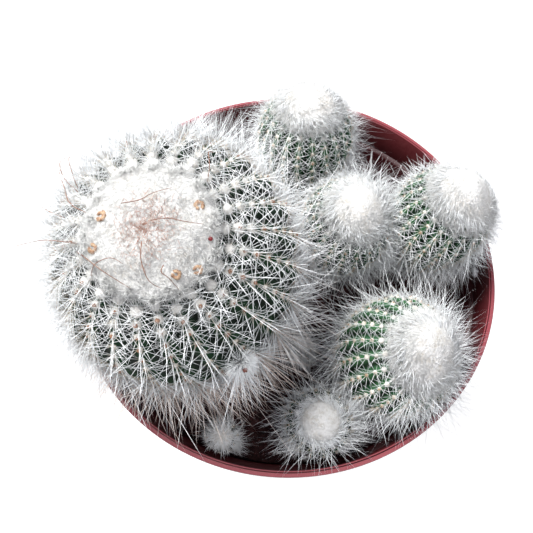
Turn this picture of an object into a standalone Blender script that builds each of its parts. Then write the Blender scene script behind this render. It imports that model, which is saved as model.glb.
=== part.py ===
"""A silver ball cactus with its offsets, growing in a round plastic nursery pot.

The pot stands on the plane z = 0 with its axis on z.  Dimensions below are in millimetres.
"""
import math
import random
from dataclasses import dataclass

import bmesh
import bpy
import numpy as np

MM = 0.001
SEED = 11
UP = np.array([0.0, 0.0, 1.0])
SHARP_ANGLE = math.radians(35.0)

# Pot
RIM_RADIUS = 65.0
POT_HEIGHT = 100.0
POT_TAPER = math.radians(10.0)
WALL = 1.6
FLOOR = 2.0
RIM_BAND_HEIGHT = 13.0
RIM_BAND_STEP = 1.8
RIM_LIP = 1.8
LEDGE_DEPTH = 11.0
LEDGE_FALL = 0.4
RIM_GROOVE = 0.5
RIM_ROUND = 0.4
FOOT_FILLET = 2.0
POT_SIDES = 48
DRAIN_HOLES = 8
DRAIN_RADIUS = 3.5
DRAIN_CIRCLE = 31.0
DRAIN_SIDES = 10

# Soil
SOIL_DEPTH = 17.0
SOIL_LEVEL = POT_HEIGHT - SOIL_DEPTH
SOIL_RINGS = 4
SOIL_RELIEF = 0.8
SOIL_EDGE_DROP = 1.0
FIT_GAP = 0.35

# Stem skin: an areole is the small pad that the spines grow from
CORE_STEPS = 61
OUTLINE_STEPS = 60
STEM_LIFT = 1.6
NECK_DEPTH = 5.0
NECK_SHARE = 0.6
AREOLE_HALF = 0.85
AREOLE_SWELL = 0.35
AREOLE_DOME = 0.25
STAGGER = 0.25
ROW_SPREAD = 1.12
SPINES_START = 1.3 * AREOLE_HALF
SPINES_END = 2.2 * AREOLE_HALF

# Spines: each areole has one for each way, all turned by the same swirl
HEADINGS = (0.0, -math.pi / 2, math.pi, math.pi / 2)
SWIRL = math.radians(22.0)
WOBBLE = math.radians(7.0)
LEAN = math.radians(50.0)
ROOT_RADIUS = 0.45
LENGTH_SPREAD = 0.08
LEAST_RISE = 0.25
BEARD_DROOP = 0.9
BEARD_TOP = POT_HEIGHT + 12.0
BEARD_FADE = 14.0
# Turn and raise in degrees, and share of the full length, tried in this order
TRIES = (
    (0, 0, 1.0), (0, -12, 1.0), (14, -6, 1.0), (-14, -6, 1.0), (0, -26, 0.95), (20, -20, 0.85),
    (-20, -20, 0.85), (0, -10, 0.75), (0, -34, 0.75), (0, 0, 0.55), (0, -38, 0.55),
)

# Room that a spine keeps to what it could touch
GAP_OWN_STEM = 0.25
GAP_OTHER_STEM = 1.3
GAP_OWN_SPINE = 0.12
GAP_OTHER_SPINE = 0.4
GAP_POT = 0.6

# Wool
WOOL_GAP = 0.35
WOOL_EDGE = 0.92
WOOL_INNER = 0.55
WOOL_WIDE_LEVELS = (0.98, 0.86, 0.62, 0.32)
WOOL_LEVELS = (0.98, 0.8, 0.4)
CAP_EDGE = 0.97
CAP_SINK = 0.15
WOOL_WHIRL = 0.5
WIDE_RIBS = 20


@dataclass(frozen=True)
class StemSize:
    """One stem: where it stands on the soil, where its tip is over the soil, and how wide it grows."""

    name: str
    base: tuple
    tip: tuple
    bend: float
    radius: float
    widest: float
    foot: float
    wool: float
    wool_height: float
    ribs: int
    rows: int
    valley: float
    spine: float
    beard: float = 0.0
    twist: float = 0.25


STEMS = (
    StemSize("main", (-29.0, -8.0), (-32.7, -19.6, 74.0), bend=34.0, radius=32.4, widest=0.58, foot=0.62,
             wool=15.2, wool_height=3.2, ribs=24, rows=9, valley=1.5, spine=7.0, beard=6.0, twist=0.3),
    StemSize("back", (6.0, 41.0), (7.6, 42.6, 42.6), bend=20.0, radius=15.0, widest=0.62, foot=0.6,
             wool=7.6, wool_height=2.0, ribs=14, rows=5, valley=0.8, spine=5.6),
    StemSize("middle", (17.6, 12.2), (21.4, 7.8, 37.0), bend=18.0, radius=13.9, widest=0.6, foot=0.6,
             wool=7.2, wool_height=1.9, ribs=14, rows=5, valley=0.8, spine=5.4),
    StemSize("right", (44.6, 12.6), (52.6, 10.4, 41.6), bend=18.0, radius=14.2, widest=0.62, foot=0.58,
             wool=8.2, wool_height=2.1, ribs=14, rows=5, valley=0.8, spine=5.6),
    StemSize("lower_right", (28.4, -29.6), (37.6, -35.4, 35.4), bend=15.0, radius=16.6, widest=0.57, foot=0.6,
             wool=8.2, wool_height=2.2, ribs=14, rows=6, valley=0.9, spine=5.8),
    StemSize("bottom", (9.0, -48.4), (8.9, -51.0, 22.8), bend=10.0, radius=9.4, widest=0.55, foot=0.6,
             wool=4.7, wool_height=1.6, ribs=12, rows=4, valley=0.5, spine=4.8),
    StemSize("small", (-19.0, -51.6), (-18.8, -53.0, 13.6), bend=6.0, radius=4.4, widest=0.5, foot=0.6,
             wool=2.5, wool_height=1.3, ribs=8, rows=2, valley=0.3, spine=4.0),
    StemSize("tiny", (5.5, -23.0), (5.0, -24.0, 9.0), bend=4.0, radius=3.0, widest=0.5, foot=0.6,
             wool=1.8, wool_height=1.0, ribs=6, rows=1, valley=0.2, spine=3.6),
)


def unit(v):
    """The vector at length one."""
    return v / np.linalg.norm(v)


def bumps(x, y, z=0.0):
    """A smooth uneven value between about -1 and 1, fixed for each place."""
    return (math.sin(1.9 * x + 0.7 * y + 0.6 * z) + math.sin(-0.8 * x + 2.3 * y + 1.1 * z)
            + math.sin(3.1 * x - 1.7 * y + 1.9)) / 3.0


def wall_outer(z):
    """Outer radius of the pot's wall below its rim band."""
    return RIM_RADIUS - RIM_BAND_STEP - (POT_HEIGHT - z) * math.tan(POT_TAPER)


def wall_inner(z):
    """Inner radius of the pot's wall below the ledge inside its rim."""
    return wall_outer(z) - WALL


def rim_inner(z):
    """Inner radius of the rim band, above the ledge."""
    return wall_outer(z) + RIM_BAND_STEP - RIM_LIP


def new_object(name, verts, faces, material):
    """A mesh object from points in millimetres and faces that already wind outward."""
    mesh = bpy.data.meshes.new(name)
    mesh.from_pydata([tuple(float(c) * MM for c in v) for v in verts], [], faces)
    mesh.validate()
    mesh.materials.append(material)
    obj = bpy.data.objects.new(name, mesh)
    bpy.context.collection.objects.link(obj)
    return obj


def plain_material(name, colour, roughness):
    """A matte material with one base colour."""
    mat = bpy.data.materials.new(name)
    mat.use_nodes = True
    bsdf = mat.node_tree.nodes["Principled BSDF"]
    bsdf.inputs["Base Color"].default_value = (*colour, 1.0)
    bsdf.inputs["Roughness"].default_value = roughness
    bsdf.inputs["Metallic"].default_value = 0.0
    return mat


def pot_material():
    """Reddish terracotta-coloured plastic."""
    return plain_material("pot_plastic", (0.33, 0.10, 0.10), 0.45)


def soil_material():
    """Dark peat soil."""
    return plain_material("soil_peat", (0.045, 0.028, 0.022), 0.95)


def stem_material():
    """Green skin under a haze of white spines."""
    return plain_material("stem_skin", (0.36, 0.43, 0.34), 0.7)


def wool_material():
    """White wool with a slight cream cast."""
    return plain_material("wool_fibre", (0.83, 0.80, 0.74), 0.95)


def cut(target, cutters):
    """Take the closed cutter objects out of the target and remove them."""
    group = bpy.data.collections.new("cutters")
    bpy.context.scene.collection.children.link(group)
    for cutter in cutters:
        bpy.context.collection.objects.unlink(cutter)
        group.objects.link(cutter)
    mod = target.modifiers.new("cut", "BOOLEAN")
    mod.operation = "DIFFERENCE"
    mod.operand_type = "COLLECTION"
    mod.collection = group
    mod.solver = "EXACT"
    bpy.context.view_layer.objects.active = target
    bpy.ops.object.modifier_apply(modifier=mod.name)
    for cutter in list(group.objects):
        bpy.data.objects.remove(cutter, do_unlink=True)
    bpy.data.collections.remove(group)


def cylinder(name, x, y, radius, low, high, sides, material):
    """An upright closed cylinder."""
    angles = [2 * math.pi * k / sides for k in range(sides)]
    verts = [(x + radius * math.cos(a), y + radius * math.sin(a), z) for z in (low, high) for a in angles]
    faces = [(k, (k + 1) % sides, sides + (k + 1) % sides, sides + k) for k in range(sides)]
    faces.append(tuple(reversed(range(sides))))
    faces.append(tuple(range(sides, 2 * sides)))
    return new_object(name, verts, faces, material)


def ring_faces(sides, rings):
    """Faces of a closed body whose points are a pole, rings from low to high, and a pole."""
    last = 1 + (rings - 1) * sides
    top = last + sides
    faces = [(0, 1 + (k + 1) % sides, 1 + k) for k in range(sides)]
    for low in range(1, last, sides):
        high = low + sides
        faces += [(low + k, low + (k + 1) % sides, high + (k + 1) % sides, high + k) for k in range(sides)]
    faces += [(last + k, last + (k + 1) % sides, top) for k in range(sides)]
    return faces


def spun(name, profile, sides, material):
    """A closed body of turning, from a profile of (radius, z) that starts and ends on the axis."""
    verts = [(0.0, 0.0, profile[0][1])]
    for radius, z in profile[1:-1]:
        for k in range(sides):
            a = 2 * math.pi * k / sides
            verts.append((radius * math.cos(a), radius * math.sin(a), z))
    verts.append((0.0, 0.0, profile[-1][1]))
    return new_object(name, verts, ring_faces(sides, len(profile) - 2), material)


def build_pot(material):
    """The pot: flat pierced floor, tapered wall, and a rim band with a groove on top and a ledge inside."""
    band_low = POT_HEIGHT - RIM_BAND_HEIGHT
    ledge = POT_HEIGHT - LEDGE_DEPTH
    lip_in = RIM_RADIUS - RIM_LIP
    groove_out = RIM_RADIUS - 0.60 * RIM_LIP
    groove_in = RIM_RADIUS - 0.82 * RIM_LIP
    profile = [
        (0.0, 0.0),
        (wall_outer(0.0) - FOOT_FILLET, 0.0),
        (wall_outer(FOOT_FILLET), FOOT_FILLET),
        (wall_outer(band_low), band_low),
        (wall_outer(band_low) + RIM_BAND_STEP, band_low + RIM_ROUND),
        (RIM_RADIUS, POT_HEIGHT - RIM_ROUND),
        (RIM_RADIUS - RIM_ROUND, POT_HEIGHT),
        (groove_out, POT_HEIGHT),
        ((groove_out + groove_in) / 2, POT_HEIGHT - RIM_GROOVE),
        (groove_in, POT_HEIGHT),
        (lip_in, POT_HEIGHT),
        (rim_inner(ledge), ledge),
        (wall_inner(ledge - LEDGE_FALL), ledge - LEDGE_FALL),
        (wall_inner(FLOOR), FLOOR),
        (0.0, FLOOR),
    ]
    pot = spun("pot", profile, POT_SIDES, material)
    drains = []
    for k in range(DRAIN_HOLES):
        a = 2 * math.pi * (k + 0.5) / DRAIN_HOLES
        x, y = DRAIN_CIRCLE * math.cos(a), DRAIN_CIRCLE * math.sin(a)
        drains.append(cylinder("drain", x, y, DRAIN_RADIUS, -FLOOR, 2 * FLOOR, DRAIN_SIDES, material))
    cut(pot, drains)
    return pot


def soil_height(x, y):
    """Height of the uneven soil surface."""
    return SOIL_LEVEL + SOIL_RELIEF * bumps(0.21 * x, 0.19 * y)


def build_soil(stems, material):
    """The root ball: it fills the pot from floor to surface, with a plain hole under each stem."""
    low = FLOOR + FIT_GAP
    edge = SOIL_LEVEL - SOIL_EDGE_DROP
    radii = [(wall_inner(z) - FIT_GAP, z) for z in (low, edge)]
    rim = wall_inner(edge) - 2 * FIT_GAP
    verts = [(0.0, 0.0, low)]
    for radius, z in radii + [(rim * (1 - r / SOIL_RINGS), None) for r in range(SOIL_RINGS)]:
        for k in range(POT_SIDES):
            a = 2 * math.pi * k / POT_SIDES
            x, y = radius * math.cos(a), radius * math.sin(a)
            verts.append((x, y, soil_height(x, y) if z is None else z))
    verts.append((0.0, 0.0, soil_height(0.0, 0.0)))
    faces = ring_faces(POT_SIDES, SOIL_RINGS + len(radii))
    soil = new_object("soil", verts, faces, material)
    holes = []
    for stem in stems:
        x, y = stem.size.base
        bottom = SOIL_LEVEL - NECK_DEPTH - FIT_GAP
        sides = max(8, stem.size.ribs)
        holes.append(cylinder("hole", x, y, stem.neck + FIT_GAP, bottom, POT_HEIGHT, sides, material))
    cut(soil, holes)
    return soil


class Stem:
    """The skin of one stem as a formula: a curved core with an egg-shaped outline turned about it."""

    def __init__(self, size):
        self.size = size
        start = np.array([*size.base, SOIL_LEVEL + STEM_LIFT])
        tip = np.array([size.tip[0], size.tip[1], SOIL_LEVEL + size.tip[2]])
        knee = start + UP * size.bend
        t = np.linspace(0.0, 1.0, CORE_STEPS)[:, None]
        self.core = (1 - t) ** 2 * start + 2 * t * (1 - t) * knee + t ** 2 * tip
        steps = np.linalg.norm(np.diff(self.core, axis=0), axis=1)
        self.along = np.concatenate([[0.0], np.cumsum(steps)])
        self.length = self.along[-1]
        self.tangent = np.gradient(self.core, self.along, axis=0)
        self.outline()
        self.neck = size.radius * size.foot * NECK_SHARE

    def outline(self):
        """Sample the outline from the tip down to the foot."""
        size = self.size
        wide = self.length * size.widest
        psi = np.linspace(0.0, math.pi / 2, OUTLINE_STEPS)
        low = np.linspace(0.0, 1.0, OUTLINE_STEPS)[1:]
        self.h = np.concatenate([wide + (self.length - wide) * np.cos(psi), wide * (1 - low)])
        self.r = np.concatenate([size.radius * np.sin(psi), size.radius * (1 - (1 - size.foot) * low ** 2)])
        run = np.hypot(np.diff(self.h), np.diff(self.r))
        self.arc = np.concatenate([[0.0], np.cumsum(run)])
        self.total = self.arc[-1]
        dh, dr = np.gradient(self.h, self.arc), np.gradient(self.r, self.arc)
        self.n_out, self.n_up = -dh, dr
        self.wool_arc = float(np.interp(size.wool, self.r[:OUTLINE_STEPS], self.arc[:OUTLINE_STEPS]))

    def frame(self, h):
        """Centre, axis direction and two cross directions of the core at a height along it."""
        centre = np.array([np.interp(h, self.along, self.core[:, k]) for k in range(3)])
        axis = unit(np.array([np.interp(h, self.along, self.tangent[:, k]) for k in range(3)]))
        east = unit(np.array([1.0, 0.0, 0.0]) - axis[0] * axis)
        return centre, axis, east, np.cross(axis, east)

    def place(self, arc, angle, lift=0.0):
        """Point on the skin, or over it by a lift, for a distance down from the tip and an angle."""
        h = float(np.interp(arc, self.arc, self.h))
        r = float(np.interp(arc, self.arc, self.r))
        out = float(np.interp(arc, self.arc, self.n_out))
        rise = float(np.interp(arc, self.arc, self.n_up))
        centre, axis, east, north = self.frame(h)
        radial = math.cos(angle) * east + math.sin(angle) * north
        normal = unit(out * radial + rise * axis)
        return centre + r * radial + lift * normal

    def clearance(self, p):
        """How far a point lies outside the skin and the wool, as a signed distance."""
        size = self.size
        rel = p - self.core
        along = np.einsum("ij,ij->i", rel, self.tangent)
        i = int(np.argmin(np.abs(along)))
        side = np.linalg.norm(rel[i] - along[i] * self.tangent[i])
        h = self.along[i] + along[i]
        if h > self.length:
            return math.hypot(h - self.length, max(0.0, side - size.wool)) - size.wool_height
        if h < 0.0:
            return math.hypot(h, max(0.0, side - size.radius * size.foot))
        gap = side - float(np.interp(h, self.h[::-1], self.r[::-1]))
        if side < size.wool + AREOLE_HALF and h > self.length / 2:
            gap = min(gap, gap / 2 - size.wool_height)
        return gap


def segment_gaps(p, q, starts, ends):
    """Closest distance from one segment to many, with where along each the closest points lie."""
    d1, d2, w = q - p, ends - starts, p - starts
    a = float(d1 @ d1)
    e = np.einsum("ij,ij->i", d2, d2)
    b, c, f = d2 @ d1, w @ d1, np.einsum("ij,ij->i", d2, w)
    den = np.maximum(a * e - b * b, 1e-9)
    s = np.clip((b * f - c * e) / den, 0.0, 1.0)
    t = np.clip((b * s + f) / e, 0.0, 1.0)
    s = np.clip((b * t - c) / a, 0.0, 1.0)
    gap = np.linalg.norm(w + s[:, None] * d1 - t[:, None] * d2, axis=1)
    return gap, s, t


class Room:
    """Keeps every spine clear of the other spines, the stems, the soil and the pot."""

    def __init__(self, stems):
        self.stems = stems
        self.starts = np.zeros((0, 3))
        self.ends = np.zeros((0, 3))
        self.owner = np.zeros((0, 2), int)

    @staticmethod
    def in_pot(p):
        """Whether a point touches the pot or the soil."""
        side = math.hypot(p[0], p[1])
        if p[2] < SOIL_LEVEL + SOIL_RELIEF + GAP_POT and side < RIM_RADIUS:
            return True
        if p[2] > POT_HEIGHT + GAP_POT:
            return False
        inner = rim_inner(p[2]) if p[2] > POT_HEIGHT - LEDGE_DEPTH else wall_inner(p[2])
        return inner - GAP_POT < side < RIM_RADIUS + GAP_POT

    def meets_stem(self, p, index):
        """Whether a point is too close to the spine's own stem or to another."""
        for k, other in enumerate(self.stems):
            if other.clearance(p) < (GAP_OWN_STEM if k == index else GAP_OTHER_STEM):
                return True
        return False

    def is_free(self, p, q, index, areole):
        """Whether a spine from p to q touches nothing."""
        if any(self.in_pot(p + share * (q - p)) for share in np.linspace(0.0, 1.0, 9)):
            return False
        if any(self.meets_stem(p + share * (q - p), index) for share in (0.35, 0.55, 0.75, 0.9, 1.0)):
            return False
        if not len(self.starts):
            return True
        gap, s, t = segment_gaps(p, q, self.starts, self.ends)
        same = self.owner[:, 0] == index
        sister = same & (self.owner[:, 1] == areole)
        need = ROOT_RADIUS * (2 - s - t) + np.where(same, GAP_OWN_SPINE, GAP_OTHER_SPINE)
        return not bool(np.any((gap < need) & ~sister))

    def add(self, p, q, index, areole):
        """Take note of a spine."""
        self.starts = np.vstack([self.starts, p])
        self.ends = np.vstack([self.ends, q])
        self.owner = np.vstack([self.owner, (index, areole)])


def beard_share(size, point, normal):
    """How much a spot on the skin belongs to the long drooping spines low on the front."""
    if not size.beard:
        return 0.0
    low = min(1.0, max(0.0, (BEARD_TOP - point[2]) / BEARD_FADE))
    return low * min(1.0, max(0.0, 0.3 - 1.2 * normal[1]))


class Areole:
    """One small pad and the spines that rise from it."""

    def __init__(self, room, rng, stem, owner, corners, verts):
        """The corners run right-top, left-top, left-foot, right-foot."""
        pts = [verts[c] for c in corners]
        self.room, self.rng, self.owner, self.corners, self.verts = room, rng, owner, corners, verts
        self.up = unit(pts[0] + pts[1] - pts[2] - pts[3])
        self.side = unit(pts[0] + pts[3] - pts[1] - pts[2])
        self.normal = unit(np.cross(self.side, self.up))
        self.middle = sum(pts) / 4.0 + AREOLE_DOME * self.normal
        beard = beard_share(stem.size, self.middle, self.normal)
        self.length = stem.size.spine + stem.size.beard * beard
        self.droop = BEARD_DROOP * beard

    def tip(self, root, heading):
        """Tip of one spine, turned, raised or shortened until it is clear; None where it can't be."""
        wobble = self.rng.uniform(-WOBBLE, WOBBLE)
        length = self.length * self.rng.uniform(1 - LENGTH_SPREAD, 1 + LENGTH_SPREAD)
        for turn, raise_by, share in TRIES:
            around = heading + SWIRL + wobble + math.radians(turn)
            lean = LEAN + math.radians(raise_by)
            flat = math.cos(around) * self.up + math.sin(around) * self.side
            way = unit(math.cos(lean) * self.normal + math.sin(lean) * flat - self.droop * UP)
            if way @ self.normal < LEAST_RISE:
                way = unit(way + 1.5 * LEAST_RISE * self.normal)
            tip = root + way * length * share
            if self.room.is_free(root, tip, *self.owner):
                self.room.add(root, tip, *self.owner)
                return tip
        return None

    def raise_spines(self, faces):
        """Split the pad into wedges and raise each into a three-sided spine."""
        centre = len(self.verts)
        self.verts.append(self.middle)
        for k, heading in enumerate(HEADINGS):
            a, b = self.corners[k], self.corners[(k + 1) % 4]
            root = (self.verts[a] + self.verts[b] + self.middle) / 3.0
            tip = self.tip(root, heading)
            if tip is None:
                faces.append((a, b, centre))
                continue
            self.verts.append(tip)
            top = len(self.verts) - 1
            faces += [(a, b, top), (b, centre, top), (centre, a, top)]


def skin_grid(stem, put):
    """Columns of points from top to foot: two along each rib's areoles and one in each valley."""
    size = stem.size
    first = stem.wool_arc + SPINES_START
    last = stem.total - SPINES_END

    def row_arc(rib, row, edge):
        share = (row + 0.5 + (STAGGER if rib % 2 else -STAGGER)) / size.rows
        return first + (last - first) * share ** ROW_SPREAD + edge * AREOLE_HALF

    grid = []
    for rib in range(size.ribs):
        left, right, valley = [], [], []
        for row in range(size.rows):
            for edge in (-1, 1):
                arc = row_arc(rib, row, edge)
                low = (arc + row_arc(rib + 1, row, edge)) / 2
                r = float(np.interp(arc, stem.arc, stem.r))
                angle = 2 * math.pi * rib / size.ribs + size.twist * arc / stem.total
                groove = 2 * math.pi * (rib + 0.5) / size.ribs + size.twist * low / stem.total
                depth = size.valley * r / size.radius
                left.append(put(arc, angle - AREOLE_HALF / r, AREOLE_SWELL * depth))
                right.append(put(arc, angle + AREOLE_HALF / r, AREOLE_SWELL * depth))
                valley.append(put(low, groove, -depth))
        grid += [left, right, valley]
    return grid


def build_stem(index, stem, room, rng, material):
    """The ribbed stem: valleys and raised areoles by formula, spines raised from the areoles."""
    verts, faces = [], []

    def put(arc, angle, lift):
        verts.append(stem.place(arc, angle, lift))
        return len(verts) - 1

    grid = skin_grid(stem, put)
    for c, left in enumerate(grid):
        right = grid[(c + 1) % len(grid)]
        for k in range(len(left) - 1):
            quad = (right[k], left[k], left[k + 1], right[k + 1])
            if c % 3 == 0 and k % 2 == 0:
                Areole(room, rng, stem, (index, c * len(left) + k), quad, verts).raise_spines(faces)
            else:
                faces.append(quad)
    close_top(stem, [column[0] for column in grid], faces, put)
    close_foot(stem, [column[-1] for column in grid], verts, faces)
    return new_object("stem_" + stem.size.name, verts, faces, material)


def cap_ring(stem, sides, share, lift, put):
    """A plain ring on the rounded top of a stem."""
    arc = stem.wool_arc * share
    twist = stem.size.twist * arc / stem.total
    return [put(arc, 2 * math.pi * (k + 0.5) / sides + twist, lift) for k in range(sides)]


def join_to_skin(ring, skin, faces, flip):
    """Join a ring of single points to the skin's end, which has three points for each of them."""
    for k, a in enumerate(ring):
        b = ring[(k + 1) % len(ring)]
        v = [skin[(3 * k + 2 + m) % len(skin)] for m in range(4)]
        fans = [(a, v[0], v[1]), (a, v[1], v[2]), (a, v[2], b), (b, v[2], v[3])]
        faces += [face[::-1] for face in fans] if flip else fans


def close_top(stem, skin, faces, put):
    """The plain rounded top that lies under the wool."""
    n = stem.size.ribs
    outer = cap_ring(stem, n, CAP_EDGE, -CAP_SINK, put)
    inner = cap_ring(stem, n, WOOL_INNER, 0.0, put)
    tip = put(0.0, 0.0, 0.0)
    join_to_skin(outer, skin, faces, False)
    for k in range(n):
        nxt = (k + 1) % n
        faces.append((outer[k], outer[nxt], inner[nxt], inner[k]))
        faces.append((inner[k], inner[nxt], tip))


def close_foot(stem, skin, verts, faces):
    """The foot: the skin turns in to a short neck that stands in the soil."""
    n = stem.size.ribs
    x, y = stem.size.base
    rings = []
    for z in (SOIL_LEVEL + SOIL_RELIEF + FIT_GAP, SOIL_LEVEL - NECK_DEPTH):
        rings.append(range(len(verts), len(verts) + n))
        for k in range(n):
            a = 2 * math.pi * (k + 0.5) / n + stem.size.twist
            verts.append(np.array([x + stem.neck * math.cos(a), y + stem.neck * math.sin(a), z]))
    high, low = rings
    join_to_skin(high, skin, faces, True)
    for k in range(n):
        nxt = (k + 1) % n
        faces.append((high[nxt], high[k], low[k], low[nxt]))
    faces.append(tuple(reversed(low)))


def build_wool(stem, material):
    """The woolly crown: a cushion of combed tufts that follows the rounded top of its stem."""
    size = stem.size
    sides = 2 * size.ribs
    verts, faces = [], []

    def put(arc, angle, lift):
        verts.append(stem.place(arc, angle, lift))
        return len(verts) - 1

    under_tip = put(0.0, 0.0, WOOL_GAP)
    rings = [cap_ring(stem, sides, share, WOOL_GAP, put) for share in (WOOL_INNER, WOOL_EDGE)]
    for level, share in enumerate(WOOL_WIDE_LEVELS if size.ribs > WIDE_RIBS else WOOL_LEVELS):
        ring = []
        dome = math.sqrt(1 - (WOOL_EDGE * share) ** 2)
        for k in range(sides):
            angle = 2 * math.pi * (k + 0.5) / sides + WOOL_WHIRL * (1 - share)
            patch = bumps(5 * math.cos(angle), 5 * math.sin(angle), 4 * share)
            tuft = 0.16 * (-1) ** (k + level) + 0.12 * patch
            rise = size.wool_height * (0.4 + 0.6 * dome + tuft * (0.4 + 0.6 * share))
            ring.append(put(stem.wool_arc * share, angle, WOOL_GAP + rise))
        rings.append(ring)
    tip = put(0.0, 0.0, WOOL_GAP + size.wool_height)
    for k in range(sides):
        nxt = (k + 1) % sides
        faces.append((rings[0][nxt], rings[0][k], under_tip))
        for low, high in zip(rings, rings[1:]):
            faces.append((low[k], low[nxt], high[nxt], high[k]))
        faces.append((rings[-1][k], rings[-1][nxt], tip))
    return new_object("wool_" + size.name, verts, faces, material)


def finish(obj):
    """Split into triangles, make the normals point outward and shade the round stretches smooth."""
    bm = bmesh.new()
    bm.from_mesh(obj.data)
    bmesh.ops.triangulate(bm, faces=bm.faces)
    bmesh.ops.recalc_face_normals(bm, faces=bm.faces)
    bm.to_mesh(obj.data)
    bm.free()
    obj.data.shade_smooth()
    obj.data.set_sharp_from_angle(angle=SHARP_ANGLE)


def main():
    """Clear the scene and build the potted plant."""
    for obj in list(bpy.data.objects):
        bpy.data.objects.remove(obj, do_unlink=True)
    rng = random.Random(SEED)
    stems = [Stem(size) for size in STEMS]
    room = Room(stems)
    skin, wool = stem_material(), wool_material()
    parts = [build_pot(pot_material()), build_soil(stems, soil_material())]
    for index, stem in enumerate(stems):
        parts.append(build_stem(index, stem, room, rng, skin))
        parts.append(build_wool(stem, wool))
    for part in parts:
        finish(part)


main()
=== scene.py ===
"""The looks of a silver ball cactus with its offsets in a round plastic pot.

The sizes of the stems and the pot repeat those of the solids, in millimetres.
"""
import logging
import math
from dataclasses import dataclass, replace
from enum import Enum

import bmesh
import bpy
import numpy as np
from mathutils import Matrix, Vector


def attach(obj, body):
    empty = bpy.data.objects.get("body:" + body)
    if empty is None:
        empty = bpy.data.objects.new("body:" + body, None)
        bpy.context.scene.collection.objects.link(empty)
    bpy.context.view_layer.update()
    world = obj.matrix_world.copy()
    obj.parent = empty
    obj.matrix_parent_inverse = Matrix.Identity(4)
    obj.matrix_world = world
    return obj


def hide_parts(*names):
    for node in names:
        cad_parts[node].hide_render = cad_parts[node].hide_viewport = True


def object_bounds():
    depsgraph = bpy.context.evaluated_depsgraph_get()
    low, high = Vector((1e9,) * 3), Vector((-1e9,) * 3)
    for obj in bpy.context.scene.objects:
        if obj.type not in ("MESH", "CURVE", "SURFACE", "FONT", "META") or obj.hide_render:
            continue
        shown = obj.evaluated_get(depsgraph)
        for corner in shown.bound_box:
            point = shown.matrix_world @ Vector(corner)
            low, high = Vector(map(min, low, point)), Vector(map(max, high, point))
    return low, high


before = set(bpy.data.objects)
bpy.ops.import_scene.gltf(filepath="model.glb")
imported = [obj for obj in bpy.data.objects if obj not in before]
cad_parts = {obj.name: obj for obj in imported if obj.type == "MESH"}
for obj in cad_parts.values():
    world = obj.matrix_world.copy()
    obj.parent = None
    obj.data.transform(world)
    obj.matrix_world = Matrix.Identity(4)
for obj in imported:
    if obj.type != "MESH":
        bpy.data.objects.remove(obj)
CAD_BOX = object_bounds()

log = logging.getLogger("cactus")
BODY = "root"
MM = 0.001
SEED = 20
UP = np.array([0.0, 0.0, 1.0])

RIM_RADIUS = 65.0
POT_HEIGHT = 100.0
POT_TAPER = math.radians(10.0)
WALL = 1.6
FLOOR = 2.0
RIM_BAND_STEP = 1.8
SOIL_LEVEL = 83.0
STEM_LIFT = 1.6
NECK_DEPTH = 5.0
NECK_SHARE = 0.6
FIT_GAP = 0.35
SKIN_MARGIN = 1.1
ROW_SPREAD = 1.12
HAIR_REACH = 12.0
FIBRE_KEYS = ("root", "way", "length", "radius", "bend", "tone")

Array = np.ndarray
Colour = tuple[float, float, float]


class Slot(Enum):
    """The record's material slots."""

    POT = "pot_plastic"
    SOIL = "soil_peat"
    STEM = "stem_skin"
    WOOL = "wool_fibre"


@dataclass(frozen=True)
class Coat:
    """How a stem's areoles are dressed: how many spines of each kind, their lengths, and the pads' size.

    Attributes:
        whirl: how far the crown's wool is combed round, in radians.
        wild: how far a spot has to face the shaggy side to bear fine hairs, as a cosine.
        bare: where the crown's fringe starts, as a share of its wool.
        comb: which way the fine hairs and the wool are drawn, if any.
    """

    radials: int
    radial: float
    centrals: int
    central: float
    hairs: int
    hair: float
    drooping: int
    droop: float
    pad: float
    whirl: float
    thickness: float
    wild: float
    bare: float
    comb: tuple[float, float, float] = (0.0, 0.0, 0.0)


@dataclass(frozen=True)
class StemSize:
    """One stem: its place, its outline, and how its ribs, areoles, coat and wool are set.

    Attributes:
        shaggy: the side of the longest hair, seen from above.
        green: how fresh the green of its ribs is, from 0 to 1.
    """

    name: str
    base: tuple[float, float]
    tip: tuple[float, float, float]
    bend: float
    radius: float
    widest: float
    foot: float
    wool: float
    wool_height: float
    ribs: int
    rows: int
    valley: float
    green: float
    coat: Coat
    shaggy: tuple[float, float]
    twist: float = 0.25


MAIN_COAT = Coat(radials=10, radial=7.8, centrals=3, central=10.2, hairs=16, hair=10.5, drooping=6,
                 droop=17.0, pad=0.74, whirl=0.0, thickness=0.085, wild=0.2, bare=0.86)
OFFSET_COAT = Coat(radials=10, radial=4.5, centrals=2, central=6.2, hairs=6, hair=9.2, drooping=4, droop=10.5,
                   pad=0.56, whirl=0.9, thickness=0.070, wild=0.35, bare=0.55)
GREEN_COAT = Coat(radials=8, radial=4.2, centrals=2, central=5.6, hairs=7, hair=9.0, drooping=5, droop=12.0,
                  pad=0.68, whirl=1.0, thickness=0.066, wild=0.3, bare=0.6)
BUD_COAT = Coat(radials=7, radial=3.6, centrals=2, central=5.0, hairs=5, hair=8.6, drooping=5, droop=9.5,
                pad=0.38, whirl=1.35, thickness=0.070, wild=0.0, bare=0.86)
TUFT_COAT = Coat(radials=5, radial=3.0, centrals=1, central=3.4, hairs=24, hair=5.0, drooping=12, droop=5.6,
                 pad=0.3, whirl=0.2, thickness=0.060, wild=-1.0, bare=0.05, comb=(0.0, -2.4, -0.8))

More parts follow.
